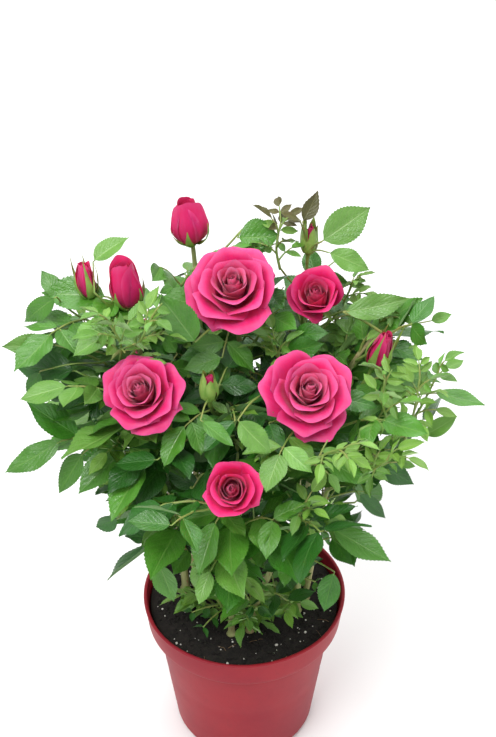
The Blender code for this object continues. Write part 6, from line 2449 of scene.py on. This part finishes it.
@dataclass
class Soil:
    """The potting soil: a lumpy closed plug, crumbs, white grains and pale fibres pressed into its top."""

    level: float = SIZES.soil_level
    edge_sunk: float = 0.0020
    radius: float = 0.0566
    crumbs: int = 900
    grains: int = 150
    fibres: int = 36
    crumb_size: tuple[float, float] = (0.0004, 0.0013)
    grain_size: tuple[float, float] = (0.0003, 0.0006)
    fibre_length: tuple[float, float] = (0.003, 0.010)
    fibre_radius: tuple[float, float] = (0.00012, 0.00026)
    fibre_lift: tuple[float, float] = (0.0004, 0.0010)
    fibre_bend: float = 0.5
    fibre_steps: int = 5
    fibre_end: float = 0.001
    sunk: float = 0.0008
    edge_from: float = 0.8
    edge_width: float = 0.2
    swell: float = 0.0013
    broad_swell: float = 60
    fine_swell: float = 190
    floor_gap: float = 0.0006
    wall_gap: float = 0.0004
    shoulder: float = 0.006
    step_gap: tuple[float, float] = (0.003, 0.002)
    spread_within: float = 0.003
    sides: int = 96
    lump_rough: float = 0.38
    lump_scale: float = 1.5
    lump_shape: tuple[tuple[float, float], ...] = ((0.75, 1.3), (0.7, 1.1), (0.55, 0.9))
    lump_raised: float = 0.3
    top_rings: tuple[float, ...] = (
        1.0, 0.985, 0.96, 0.92, 0.87, 0.81, 0.74, 0.67, 0.6, 0.52, 0.44, 0.36, 0.28, 0.2, 0.12, 0.05,
    )
    lump: tuple[np.ndarray, np.ndarray] = field(default_factory=lambda: ball_mesh(1))

    def top_at(self, x: float, y: float) -> float:
        """The height of the soil's top at a place.

        Args:
            x: The place across.
            y: The place in depth.

        Returns:
            The height.
        """
        edge = max(0.0, math.hypot(x, y) / self.radius - self.edge_from) / self.edge_width
        broad, fine = self.broad_swell, self.fine_swell
        lumps = noise.noise(Vector((x * broad, y * broad, 1.7))) + 0.5 * noise.noise(Vector((x * fine, y * fine, 4.1)))
        return self.level - self.sunk - self.edge_sunk * edge * edge + self.swell * lumps * (1 - 0.5 * edge)

    def build(self, dark: Material, white: Material, pale: Material, pot: Pot) -> None:
        """Builds the plug, the crumbs, the grains and the fibres.

        Args:
            dark: The plug's and crumbs' finish.
            white: The grains' finish.
            pale: The fibres' finish.
            pot: The pot that it fills.
        """
        turn = np.linspace(0, -2 * math.pi, self.sides, endpoint=False)
        below, outwards = self.step_gap
        rings = []
        for share in np.linspace(0, 1, 10):
            level = pot.wall + self.floor_gap + (self.level - self.shoulder - pot.wall) * share
            inner = pot.wall_radius(max(level, pot.corner)) - pot.wall - self.wall_gap
            reach = inner if level < pot.height - pot.collar_height - below else min(self.radius, inner + outwards)
            rings.append([(reach * math.cos(a), reach * math.sin(a), level) for a in turn])
        for share in self.top_rings:
            reach = self.radius * share
            spots = [(reach * math.cos(a), reach * math.sin(a)) for a in turn]
            rings.append([(x, y, self.top_at(x, y)) for x, y in spots])
        plug = Heap()
        plug.add_rings(np.array(rings)[:, ::-1], 0.0)
        plug.piece("soil_plug", dark, "soil", slot="potting_soil")
        rng = random.Random("soil")
        crumbs, grains = Heap(), Heap()
        for _ in range(self.crumbs):
            self._add_lump(crumbs, rng, rng.uniform(*self.crumb_size))
        for _ in range(self.grains):
            self._add_lump(grains, rng, rng.uniform(*self.grain_size) * rng.choice((1, 1, 1, 1.7)))
        crumbs.piece("soil_crumbs", dark, slot="potting_soil")
        grains.piece("soil_white_grains", white, slot="potting_soil")
        fibres = Heap()
        for _ in range(self.fibres):
            self._add_fibre(fibres, rng)
        fibres.piece("soil_fibres", pale, slot="potting_soil")

    def _spot(self, rng: random.Random) -> tuple[float, float]:
        """A place on the soil's top, evenly spread.

        Args:
            rng: What the random values are drawn from.

        Returns:
            The place across and in depth.
        """
        reach = (self.radius - self.spread_within) * math.sqrt(rng.random())
        angle = rng.uniform(0, 2 * math.pi)
        return reach * math.cos(angle), reach * math.sin(angle)

    def _add_lump(self, heap: Heap, rng: random.Random, size: float) -> None:
        """Adds a rough lump half sunk in the soil's top.

        Args:
            heap: What takes it.
            rng: What the random values are drawn from.
            size: Its radius.
        """
        points, faces = self.lump
        seed = Vector([rng.uniform(0, 90) for _ in range(3)])
        relief = np.array([noise.noise(Vector(p) * self.lump_scale + seed) for p in points])[:, None]
        shape = np.array([rng.uniform(*span) for span in self.lump_shape])
        spin = np.array(Matrix.Rotation(rng.uniform(0, ROUND), 3, "Z"))
        x, y = self._spot(rng)
        spot = np.array([x, y, self.top_at(x, y) + self.lump_raised * size])
        heap.add(points * (1 + self.lump_rough * relief) * shape @ spin * size + spot, faces)

    def _add_fibre(self, heap: Heap, rng: random.Random) -> None:
        """Adds a thin bent fibre that lies on the soil.

        Args:
            heap: What takes it.
            rng: What the random values are drawn from.
        """
        x, y = self._spot(rng)
        angle, length = rng.uniform(0, ROUND), rng.uniform(*self.fibre_length)
        low, arch = self.fibre_lift
        path = []
        for k in range(self.fibre_steps + 1):
            lift = low + arch * math.sin(math.pi * k / self.fibre_steps) * rng.random()
            path.append((x, y, self.top_at(x, y) + lift))
            angle += rng.uniform(-self.fibre_bend, self.fibre_bend)
            x, y = x + math.cos(angle) * length / self.fibre_steps, y + math.sin(angle) * length / self.fibre_steps
            if math.hypot(x, y) > self.radius - self.fibre_end:
                break
        if len(path) > 2:
            heap.add_tube(np.array(path), np.full(len(path), rng.uniform(*self.fibre_radius)), 5)


def ball_mesh(cuts: int) -> tuple[np.ndarray, np.ndarray]:
    """The points and three-cornered faces of a round ball of unit radius.

    Args:
        cuts: How often its faces are cut in four.

    Returns:
        The points and the faces.
    """
    bm = bmesh.new()
    bmesh.ops.create_icosphere(bm, subdivisions=cuts, radius=1.0)
    points = np.array([tuple(v.co) for v in bm.verts])
    faces = np.array([[v.index for v in f.verts] + [-1] for f in bm.faces])
    bm.free()
    return points, faces


# ---------------- finishes


def tone(red: int, green: int, blue: int) -> Colour:
    """A colour given as it looks on a screen, 0 to 255, in the renderer's own linear numbers."""
    return tuple((c / 255 / 12.92) if c <= 10 else ((c / 255 + 0.055) / 1.055) ** 2.4 for c in (red, green, blue))


class Graph:
    """A node tree under construction: adds nodes, sets their sockets and links them."""

    def __init__(self, tree: bpy.types.NodeTree) -> None:
        """Starts from an empty tree."""
        self.tree = tree
        tree.nodes.clear()

    def add(self, kind: str, **inputs: object) -> bpy.types.Node:
        """Adds a node.

        Args:
            kind: Its type, without the ShaderNode prefix; a Math node is written Math.MULTIPLY.
            inputs: What its sockets hold or are linked from, by name or, as _0, by place.

        Returns:
            The node.
        """
        kind, _, operation = kind.partition(".")
        node = self.tree.nodes.new(kind if kind.startswith("Node") else "ShaderNode" + kind)
        if operation:
            node.operation = operation
        return self.feed(node, **inputs)

    def feed(self, node: Node, **inputs: Input) -> Node:
        """Sets a node's sockets, or links them from other nodes' sockets.

        Args:
            node: The node.
            inputs: What its sockets hold or are linked from, by name or, as _0, by place.

        Returns:
            The node.
        """
        for key, value in inputs.items():
            socket = node.inputs[int(key[1:])] if key.startswith("_") else node.inputs[key.replace("_", " ")]
            value = value.outputs[0] if isinstance(value, Node) else value
            if isinstance(value, Socket):
                self.tree.links.new(value, socket)
            elif isinstance(value, tuple) and len(socket.default_value) == 4:
                socket.default_value = (*value, 1.0)
            else:
                socket.default_value = value
        return node

    def place(self, tree: bpy.types.NodeTree, **inputs: Input) -> Node:
        """Adds a node group and feeds its sockets.

        Args:
            tree: The group.
            inputs: What its sockets hold or are linked from, by name.

        Returns:
            The group's node.
        """
        node = self.add("Group")
        node.node_tree = tree
        return self.feed(node, **inputs)

    def math(self, operation: str, first: Input, second: Input = 0.0, third: Optional[Input] = None) -> Socket:
        """A Math node's result.

        Args:
            operation: What it does, by the name that Blender gives it.
            first: Its first number.
            second: Its second number.
            third: Its third number, where it takes one.

        Returns:
            The result's socket.
        """
        node = self.add("Math." + operation, _0=first, _1=second)
        if third is not None:
            self.feed(node, _2=third)
        return node.outputs[0]

    def step(self, value: Input, low: float, high: float, out_low: float = 0.0, out_high: float = 1.0) -> Socket:
        """A smooth step of a value.

        Args:
            value: The value.
            low: Where the step starts.
            high: Where it ends.
            out_low: The result up to the start.
            out_high: The result from the end on.

        Returns:
            The result's socket.
        """
        node = self.add("MapRange")
        node.interpolation_type = "SMOOTHSTEP"
        return self.feed(node, _0=value, _1=low, _2=high, _3=out_low, _4=out_high).outputs[0]

    def mix(self, share: Input, first: Input, second: Input, blend_type: str = "MIX") -> Socket:
        """A mix of two colours.

        Args:
            share: How much of the second it holds.
            first: The first colour.
            second: The second colour.
            blend_type: How they mix.

        Returns:
            The result's socket.
        """
        node = self.add("Mix")
        node.data_type, node.blend_type = "RGBA", blend_type
        return self.feed(node, _0=share, _6=first, _7=second).outputs[2]

    def noise(self, where: Input, scale: Input, detail: float = 2.0, rough: float = 0.5) -> Socket:
        """A noise value at a place."""
        return self.add("TexNoise", Vector=where, Scale=scale, Detail=detail, Roughness=rough).outputs["Fac"]


COLOUR, NUMBER = "NodeSocketColor", "NodeSocketFloat"


def group(name: str, inputs: dict[str, Union[float, Colour]], outputs: dict[str, str]) -> tuple[Graph, Node, Node]:
    """Starts a node group with named sockets.

    Args:
        name: The group's name.
        inputs: Each input's usual value: a colour or a number.
        outputs: Each output's kind of socket.

    Returns:
        The graph inside it, its input node and its output node.
    """
    tree = bpy.data.node_groups.new(name, "ShaderNodeTree")
    for key, value in inputs.items():
        coloured = isinstance(value, tuple)
        socket = tree.interface.new_socket(key, in_out="INPUT", socket_type=COLOUR if coloured else NUMBER)
        socket.default_value = (*value, 1.0) if coloured else value
    for key, kind in outputs.items():
        tree.interface.new_socket(key, in_out="OUTPUT", socket_type=kind)
    graph = Graph(tree)
    return graph, graph.add("NodeGroupInput"), graph.add("NodeGroupOutput")


class Place(NamedTuple):
    """What the place map tells of a spot: its cell, where it lies in that, and what is the cell's own."""

    scaled: Node
    cell: Node
    along: Socket
    across: Socket
    own: Node
    lightness: Socket


def place_on(g: Graph, spread: Socket) -> Place:
    """Reads the place map, in which each leaflet or petal has a cell.

    Args:
        g: The graph that reads it.
        spread: How far the lightness differs from cell to cell.

    Returns:
        The spot's place.
    """
    places = g.add("UVMap")
    places.uv_map = PLACES
    scaled = g.add("VectorMath.SCALE", _0=places, Scale=4.0)
    cell = g.add("VectorMath.FLOOR", _0=scaled)
    inside = g.add("SeparateXYZ", _0=g.add("VectorMath.FRACTION", _0=scaled))
    own = g.add("TexWhiteNoise", Vector=cell)
    own.noise_dimensions = "3D"
    lightness = g.math("MULTIPLY_ADD", g.math("SUBTRACT", own.outputs["Value"], 0.5), spread, 1.0)
    return Place(scaled, cell, inside.outputs[0], inside.outputs[1], own, lightness)


def leaf_veins() -> bpy.types.NodeTree:
    """The group for leaves: midrib, side veins and net, with a shade for each leaflet, from its place map.

    Returns:
        The group.
    """
    inputs = {
        "Blade": (0.1, 0.3, 0.05), "Vein": (0.3, 0.5, 0.2), "Blotch": (0.1, 0.2, 0.05), "Shade": 0.25,
        "Vein strength": 0.5,
    }
    g, given, result = group("LeafVeins", inputs, {"Colour": COLOUR, "Height": NUMBER, "Gloss": NUMBER})
    blade, vein, blotch, spread, strength = given.outputs[:5]
    place = place_on(g, spread)
    side = g.math("ABSOLUTE", g.math("MULTIPLY_ADD", place.across, 2.0, -1.0))
    swept = g.math("SUBTRACT", place.along, g.math("MULTIPLY", g.math("POWER", side, 0.9), 0.32))
    phase = g.math("FRACT", g.math("MULTIPLY", swept, 7.5))
    off_vein = g.math("ABSOLUTE", g.math("SUBTRACT", phase, 0.5))
    side_vein = g.math("MULTIPLY", g.step(off_vein, 0.40, 0.5), g.step(side, 1.0, 0.75))
    midrib = g.step(side, 0.075, 0.0, 0.0, 2.0)
    moved = g.add("VectorMath.ADD", _0=place.scaled, _1=place.own.outputs["Color"])
    net = g.add("TexVoronoi", Vector=moved, Scale=15.0)
    net.feature = "DISTANCE_TO_EDGE"
    fine_vein = g.math("MULTIPLY", g.step(net, 0.10, 0.0), 0.45)
    veins = g.math("MAXIMUM", g.math("MAXIMUM", midrib, g.math("MULTIPLY", side_vein, 0.42)), fine_vein)
    mottle = g.noise(moved, 2.6, 4.0, 0.6)
    base = g.mix(g.math("MULTIPLY", g.step(mottle, 0.46, 0.72), 0.55), blade, blotch)
    base = g.mix(g.math("MULTIPLY", g.step(side, 0.80, 1.0), 0.22), base, blotch)
    veined = g.mix(g.math("MULTIPLY", veins, strength), base, vein)
    swell = g.math("SUBTRACT", 0.25, g.math("ABSOLUTE", g.math("SUBTRACT", off_vein, 0.2)))
    green = g.math("MULTIPLY", place.lightness, g.math("MULTIPLY_ADD", swell, 0.25, 1.0))
    shade = g.add("CombineXYZ", _0=place.lightness, _1=green, _2=place.lightness)
    quilt = g.math("MULTIPLY", g.math("SINE", g.math("MULTIPLY", phase, math.pi)), 0.8)
    raised = g.math("SUBTRACT", quilt, g.math("MULTIPLY", veins, 0.7))
    g.feed(
        result,
        Colour=g.mix(1.0, veined, shade, "MULTIPLY"),
        Height=g.math("MULTIPLY_ADD", g.step(net, 0.0, 0.3), 0.35, raised),
        Gloss=g.math("MULTIPLY_ADD", mottle, 0.25, g.math("MULTIPLY", veins, 0.08)),
    )
    return g.tree


def petal_grain() -> bpy.types.NodeTree:
    """The group for petals: pale foot, deep middle, light edge, fine streaks that fan out, and painted light that makes
    the inner petals paler.

    Returns:
        The group.
    """
    inputs = {
        "Heart": (0.9, 0.2, 0.4), "Petal": (0.8, 0.05, 0.25), "Deep": (0.6, 0.0, 0.08), "Edge": (0.9, 0.2, 0.5),
        "Foot": (0.9, 0.6, 0.5), "Shade": 0.2,
    }
    g, given, result = group("PetalGrain", inputs, {"Colour": COLOUR, "Height": NUMBER})
    heart, petal, deep, edge, foot, spread = given.outputs[:6]
    place = place_on(g, spread)
    side = g.math("MULTIPLY_ADD", place.across, 2.0, -1.0)
    fan = g.math("MULTIPLY", side, g.math("MULTIPLY_ADD", place.along, 0.55, 0.45))
    far, drift = g.math("MULTIPLY", place.along, 2.2), g.math("MULTIPLY", place.own.outputs["Value"], 40.0)
    spot = g.add("CombineXYZ", _0=g.math("MULTIPLY", fan, 26.0), _1=far, _2=drift)
    streak = g.noise(spot, 1.0, 3.0, 0.55)
    blush = g.noise(spot, 0.16)
    rim = g.math("MAXIMUM", g.step(place.along, 0.80, 1.0), g.step(g.math("ABSOLUTE", side), 0.84, 1.0, 0.0, 0.55))
    colour = g.mix(g.math("MULTIPLY", g.step(streak, 0.42, 0.70), 0.45), petal, deep)
    colour = g.mix(g.math("MULTIPLY", g.step(blush, 0.35, 0.75), 0.30), colour, edge)
    colour = g.mix(g.math("MULTIPLY", rim, 0.55), colour, edge)
    colour = g.mix(g.step(place.along, 0.24, 0.02), colour, foot)
    # Painted light: by its cell each petal knows how far out it stands, and the inner ones are mixed towards the pale
    # Heart colour to lift the shade in the flower's heart.
    cells = g.add("SeparateXYZ", _0=place.cell)
    outwards = g.math("MULTIPLY", g.math("MULTIPLY_ADD", cells.outputs[0], 4.0, cells.outputs[1]), 1 / 15)
    colour = g.mix(g.math("MULTIPLY", g.step(outwards, 0.75, 0.05), 0.72), colour, heart)
    shade = g.add("CombineXYZ", _0=place.lightness, _1=place.lightness, _2=place.lightness)
    height = g.math("MULTIPLY_ADD", g.noise(spot, 2.4), 0.3, streak)
    g.feed(result, Colour=g.mix(1.0, colour, shade, "MULTIPLY"), Height=height)
    return g.tree


def mottling() -> bpy.types.NodeTree:
    """The group for bark, plastic and soil: two colours in soft patches, fine flecks, and their relief.

    Returns:
        The group.
    """
    inputs = {
        "First": (0.5, 0.5, 0.5), "Second": (0.3, 0.3, 0.3), "Fleck": (0.2, 0.2, 0.2), "Patch scale": 60.0,
        "Fleck scale": 700.0, "Stretch": 1.0, "Flecks": 0.5,
    }
    g, given, result = group("Mottling", inputs, {"Colour": COLOUR, "Height": NUMBER, "Patches": NUMBER})
    first, second, fleck, patch_scale, fleck_scale, stretch, most = given.outputs[:7]
    squeeze = g.add("CombineXYZ", _0=1.0, _1=1.0, _2=stretch)
    spot = g.add("VectorMath.MULTIPLY", _0=g.add("TexCoord").outputs["Object"], _1=squeeze)
    patches = g.noise(spot, patch_scale, 4.0, 0.6)
    flecks = g.noise(spot, fleck_scale, 3.0, 0.6)
    colour = g.mix(g.step(patches, 0.36, 0.66), first, second)
    colour = g.mix(g.math("MULTIPLY", g.step(flecks, 0.54, 0.68), most), colour, fleck)
    g.feed(result, Colour=colour, Height=g.math("MULTIPLY_ADD", flecks, 0.5, patches), Patches=patches)
    return g.tree


class Groups:
    """The node groups, each built once."""

    def __init__(self) -> None:
        """Builds them."""
        self.leaf, self.petal, self.mottle = leaf_veins(), petal_grain(), mottling()


def new_material(name: str) -> tuple[Material, Graph, Node]:
    """A material with its graph and its surface shader.

    Args:
        name: The material's name.

    Returns:
        The material, its graph, and the shader node to feed.
    """
    material = bpy.data.materials.new(name)
    material.use_nodes = True
    graph = Graph(material.node_tree)
    shader = graph.add("BsdfPrincipled")
    graph.add("OutputMaterial", Surface=shader)
    return material, graph, shader


def bumped(graph: Graph, shader: Node, height: Socket, strength: float, distance: float) -> None:
    """Feeds a shader's normal from a height."""
    graph.feed(shader, Normal=graph.add("Bump", Strength=strength, Distance=distance, Height=height))


@dataclass(frozen=True)
class LeafFinish:
    """One tint of leaf: its blade, veins and blotches, its paler underside, and its gloss."""

    name: str
    blade: Colour
    vein: Colour
    blotch: Colour
    under: Colour
    gloss: float
    vein_strength: float = 0.26
    shade: float = 0.46
    under_strength: float = 0.7
    under_roughness: float = 0.62
    gloss_change: float = 0.35
    specular: float = 0.58
    bump: float = 0.34
    depth: float = 0.0004

    def make(self, groups: Groups) -> Material:
        """Builds the material, with a paler underside and less gloss on it.

        Args:
            groups: The node groups.

        Returns:
            The material.
        """
        material, g, shader = new_material(self.name)
        same = {"Vein": self.vein, "Shade": self.shade}
        top = g.place(groups.leaf, Blade=self.blade, Blotch=self.blotch, Vein_strength=self.vein_strength, **same)
        pale = g.place(groups.leaf, Blade=self.under, Blotch=self.under, Vein_strength=self.under_strength, **same)
        back = g.add("NewGeometry").outputs["Backfacing"]
        rough = g.math("SUBTRACT", 1.0 - self.gloss, g.math("MULTIPLY", top.outputs["Gloss"], self.gloss_change))
        g.feed(
            shader,
            Base_Color=g.mix(back, top.outputs["Colour"], pale.outputs["Colour"]),
            Roughness=g.math("MAXIMUM", rough, g.math("MULTIPLY", back, self.under_roughness)),
            Specular_IOR_Level=self.specular,
        )
        bumped(g, shader, top.outputs["Height"], self.bump, self.depth)
        return material


# LIGHT, MID, DEEP and DARK are lighter and darker copies of one leaf green, dealt out by place in Foliage.tint_of:
# partly the leaves' age, partly painted light and painted shade.
LEAF_FINISHES: dict[Tint, LeafFinish] = {
    Tint.TENDER: LeafFinish(
        "tender leaf", tone(114, 158, 58), tone(160, 190, 106), tone(90, 138, 42), tone(146, 180, 104), 0.60, 0.3,
    ),
    Tint.LIGHT: LeafFinish(
        "light leaf", tone(98, 146, 56), tone(154, 186, 112), tone(76, 126, 42), tone(136, 170, 108), 0.63,
    ),
    Tint.MID: LeafFinish(
        "green leaf", tone(74, 131, 38), tone(128, 168, 88), tone(54, 110, 28), tone(118, 154, 86), 0.64,
    ),
    Tint.DEEP: LeafFinish(
        "deep green leaf", tone(55, 114, 29), tone(104, 152, 72), tone(38, 90, 22), tone(100, 138, 74), 0.65,
    ),
    Tint.DARK: LeafFinish("dark leaf", tone(38, 92, 26), tone(80, 128, 60), tone(25, 70, 20), tone(84, 120, 68), 0.66),
    Tint.BRONZE: LeafFinish(
        "bronze young leaf", tone(78, 76, 27), tone(114, 112, 56), tone(84, 54, 29), tone(112, 106, 62), 0.60, 0.35,
    ),
}


@dataclass(frozen=True)
class PetalFinish:
    """The roses' petals: velvety, with deeper streaks, light along the rim, and painted light on the inner petals."""

    name: str = "rose petal"
    petal: Colour = tone(212, 35, 108)
    deep: Colour = tone(224, 36, 106)
    edge: Colour = tone(224, 96, 156)
    foot: Colour = tone(226, 140, 130)
    back: Colour = tone(210, 24, 86)
    back_edge: Colour = tone(218, 70, 126)
    # Painted light: a pale pink laid over the inner petals to lift the shade in the flower's heart.
    heart: Colour = tone(253, 150, 190)
    glow: float = 0.3
    glow_reach: tuple[float, float, float] = (1.0, 0.22, 0.35)
    glow_scale: float = 0.003
    roughness: float = 0.52
    sheen: float = 0.15
    sheen_roughness: float = 0.35
    specular: float = 0.28
    bump: float = 0.25
    depth: float = 0.0004

    def make(self, groups: Groups) -> Material:
        """Builds the material, with a deeper reverse.

        Args:
            groups: The node groups.

        Returns:
            The material.
        """
        material, g, shader = new_material(self.name)
        same = {"Deep": self.deep, "Foot": self.foot, "Heart": self.heart}
        inside = g.place(groups.petal, Petal=self.petal, Edge=self.edge, **same)
        reverse = g.place(groups.petal, Petal=self.back, Edge=self.back_edge, **same)
        back = g.add("NewGeometry").outputs["Backfacing"]
        g.feed(
            shader,
            Base_Color=g.mix(back, inside.outputs["Colour"], reverse.outputs["Colour"]),
            Roughness=self.roughness,
            Subsurface_Weight=self.glow,
            Subsurface_Radius=self.glow_reach,
            Subsurface_Scale=self.glow_scale,
            Sheen_Weight=self.sheen,
            Sheen_Roughness=self.sheen_roughness,
            Specular_IOR_Level=self.specular,
        )
        bumped(g, shader, inside.outputs["Height"], self.bump, self.depth)
        return material


# The last colour, the heart, is painted light on the inner petals, as in PetalFinish.
YOUNG_PETAL = PetalFinish(
    "young rose petal", tone(228, 36, 114), tone(226, 30, 104), tone(236, 84, 146), tone(226, 130, 120),
    tone(224, 38, 110), tone(232, 80, 140), tone(252, 130, 176),
)


@dataclass(frozen=True)
class MottledFinish:
    """A finish of two colours in soft patches with flecks: bark, stalks, plastic, soil, fibres."""

    name: str
    first: Colour
    second: Colour
    fleck: Colour
    patch_scale: float
    fleck_scale: float
    stretch: float
    flecks: float
    roughness: float
    bump: float
    depth: float = 0.0003
    specular: float = 0.5
    patchy: float = 0.2

    def make(self, groups: Groups) -> Material:
        """Builds the material.

        Args:
            groups: The node groups.

        Returns:
            The material.
        """
        material, g, shader = new_material(self.name)
        look = g.place(
            groups.mottle, First=self.first, Second=self.second, Fleck=self.fleck, Patch_scale=self.patch_scale,
            Fleck_scale=self.fleck_scale, Stretch=self.stretch, Flecks=self.flecks,
        )
        rough = g.math("MULTIPLY_ADD", look.outputs["Patches"], self.patchy, self.roughness - self.patchy / 2)
        g.feed(shader, Base_Color=look, Roughness=rough, Specular_IOR_Level=self.specular)
        bumped(g, shader, look.outputs["Height"], self.bump, self.depth)
        return material


FINISHES: dict[str, MottledFinish] = {
    each.name: each
    for each in (
        MottledFinish(
            "cane bark", tone(150, 164, 104), tone(166, 154, 108), tone(128, 100, 72), 70, 900, 0.22, 0.6, 0.55, 0.5,
        ),
        MottledFinish(
            "green shoot", tone(112, 146, 66), tone(140, 158, 84), tone(128, 100, 62), 60, 800, 0.3, 0.35, 0.45, 0.3,
        ),
        MottledFinish(
            "leaf stalk", tone(116, 152, 68), tone(146, 152, 82), tone(134, 98, 66), 120, 900, 0.5, 0.4, 0.45, 0.3,
        ),
        MottledFinish(
            "prickle", tone(156, 128, 84), tone(150, 84, 62), tone(96, 60, 44), 300, 1500, 1.0, 0.4, 0.4, 0.2,
        ),
        MottledFinish("hip", tone(104, 142, 60), tone(130, 150, 74), tone(124, 98, 60), 150, 900, 0.6, 0.3, 0.42, 0.3),
        MottledFinish(
            "sepal", tone(122, 166, 70), tone(148, 178, 88), tone(150, 112, 74), 260, 1200, 0.6, 0.22, 0.5, 0.4,
        ),
        MottledFinish(
            "pot plastic", tone(152, 27, 40), tone(140, 24, 40), tone(108, 22, 33), 18, 420, 1.0, 0.18, 0.5, 0.08,
            0.0004, specular=0.28,
        ),
        MottledFinish(
            "soil", tone(31, 26, 23), tone(20, 17, 15), tone(50, 42, 36), 260, 1100, 1.0, 0.5, 0.95, 0.8, 0.0008,
        ),
        MottledFinish(
            "white grain", tone(226, 224, 216), tone(200, 198, 190), tone(176, 170, 160), 700, 2200, 1.0, 0.4, 0.9, 0.5,
        ),
        MottledFinish("fibre", tone(128, 104, 76), tone(96, 74, 52), tone(70, 54, 40), 400, 1800, 1.0, 0.4, 0.9, 0.3),
    )
}


class Lamp(NamedTuple):
    """An area lamp: its place, the height on the pot's axis that it shines at, its size and its watts."""

    name: str
    place: tuple[float, float, float]
    aim: float
    size: float
    watts: float


@dataclass
class Studio:
    """A plain pale floor, soft white light all round, and the camera."""

    floor_size: float = 3.0
    floor_tone: Colour = tone(244, 244, 244)
    floor_roughness: float = 0.9
    camera_place: tuple[float, float, float] = (0.0024, -0.5517, 0.7018)
    pitch_down: float = 37.8
    lens: float = 64.9
    sensor: float = 36.0
    nearest: float = 0.01
    world: float = 0.64
    lamps: tuple[Lamp, ...] = (
        Lamp("key_light", (-0.45, -0.70, 1.60), 0.20, 0.8, 19.5),
        Lamp("top_light", (0.10, 0.75, 1.70), 0.10, 1.4, 20.0),
        Lamp("fill_light", (1.05, -0.65, 0.75), 0.18, 1.0, 3.0),
    )

    def build(self) -> None:
        """Builds floor, lights, world and camera."""
        scene = bpy.context.scene
        half = self.floor_size / 2
        mesh = bpy.data.meshes.new("floor")
        mesh.from_pydata([(-half, -half, 0), (half, -half, 0), (half, half, 0), (-half, half, 0)], [], [(0, 1, 2, 3)])
        floor = in_scene("floor", mesh)
        paint, graph, shader = new_material("pale floor")
        graph.feed(shader, Base_Color=self.floor_tone, Roughness=self.floor_roughness)
        mesh.materials.append(paint)
        world = bpy.data.worlds.new("studio")
        world.use_nodes = True
        world.node_tree.nodes["Background"].inputs["Color"].default_value = (1, 1, 1, 1)
        world.node_tree.nodes["Background"].inputs["Strength"].default_value = self.world
        scene.world = world
        for lamp in self.lamps:
            light = bpy.data.lights.new(lamp.name, "AREA")
            light.size, light.energy = lamp.size, lamp.watts
            obj = in_scene(lamp.name, light)
            obj.location = lamp.place
            obj.rotation_euler = (Vector((0, 0, lamp.aim)) - Vector(lamp.place)).to_track_quat("-Z", "Y").to_euler()
        lens = bpy.data.cameras.new("camera")
        lens.lens, lens.sensor_width, lens.clip_start = self.lens, self.sensor, self.nearest
        camera = in_scene("camera", lens)
        camera.location = self.camera_place
        camera.rotation_euler = (math.radians(90 - self.pitch_down), 0.0, 0.0)
        scene.camera = camera
        scene.view_settings.view_transform = "Standard"


def main() -> None:
    """Builds the plant class by class, and logs how many leaves the bush has."""
    logging.basicConfig(level=logging.INFO, format="%(message)s")
    groups = Groups()
    finish = {name: each.make(groups) for name, each in FINISHES.items()}
    leaf_finish = {tint: each.make(groups) for tint, each in LEAF_FINISHES.items()}
    petal = PetalFinish().make(groups)
    young_petal = YOUNG_PETAL.make(groups)
    Studio().build()
    bush = Bush()
    bush.grow()
    bush.fill_out()
    bush.set_lead_leaves()
    bush.grow_young_shoots()
    bush.add_shown_leaves()
    LOG.info("bush: %d leaves", sum(map(len, bush.leaves.values())))
    stems = Stems()
    stems.build(bush)
    stems.dress(finish["cane bark"], finish["green shoot"], finish["prickle"], bush)
    foliage = Foliage()
    foliage.build(bush)
    foliage.dress(leaf_finish, finish["leaf stalk"], [f"foliage_{mass}" for mass in bush.stems])
    blooms = Blooms()
    blooms.build(petal, young_petal)
    blooms.dress(finish["hip"], finish["sepal"], young_petal)
    pot = Pot()
    pot.build(finish["pot plastic"])
    Soil().build(finish["soil"], finish["white grain"], finish["fibre"], pot)


if __name__ == "__main__":
    main()
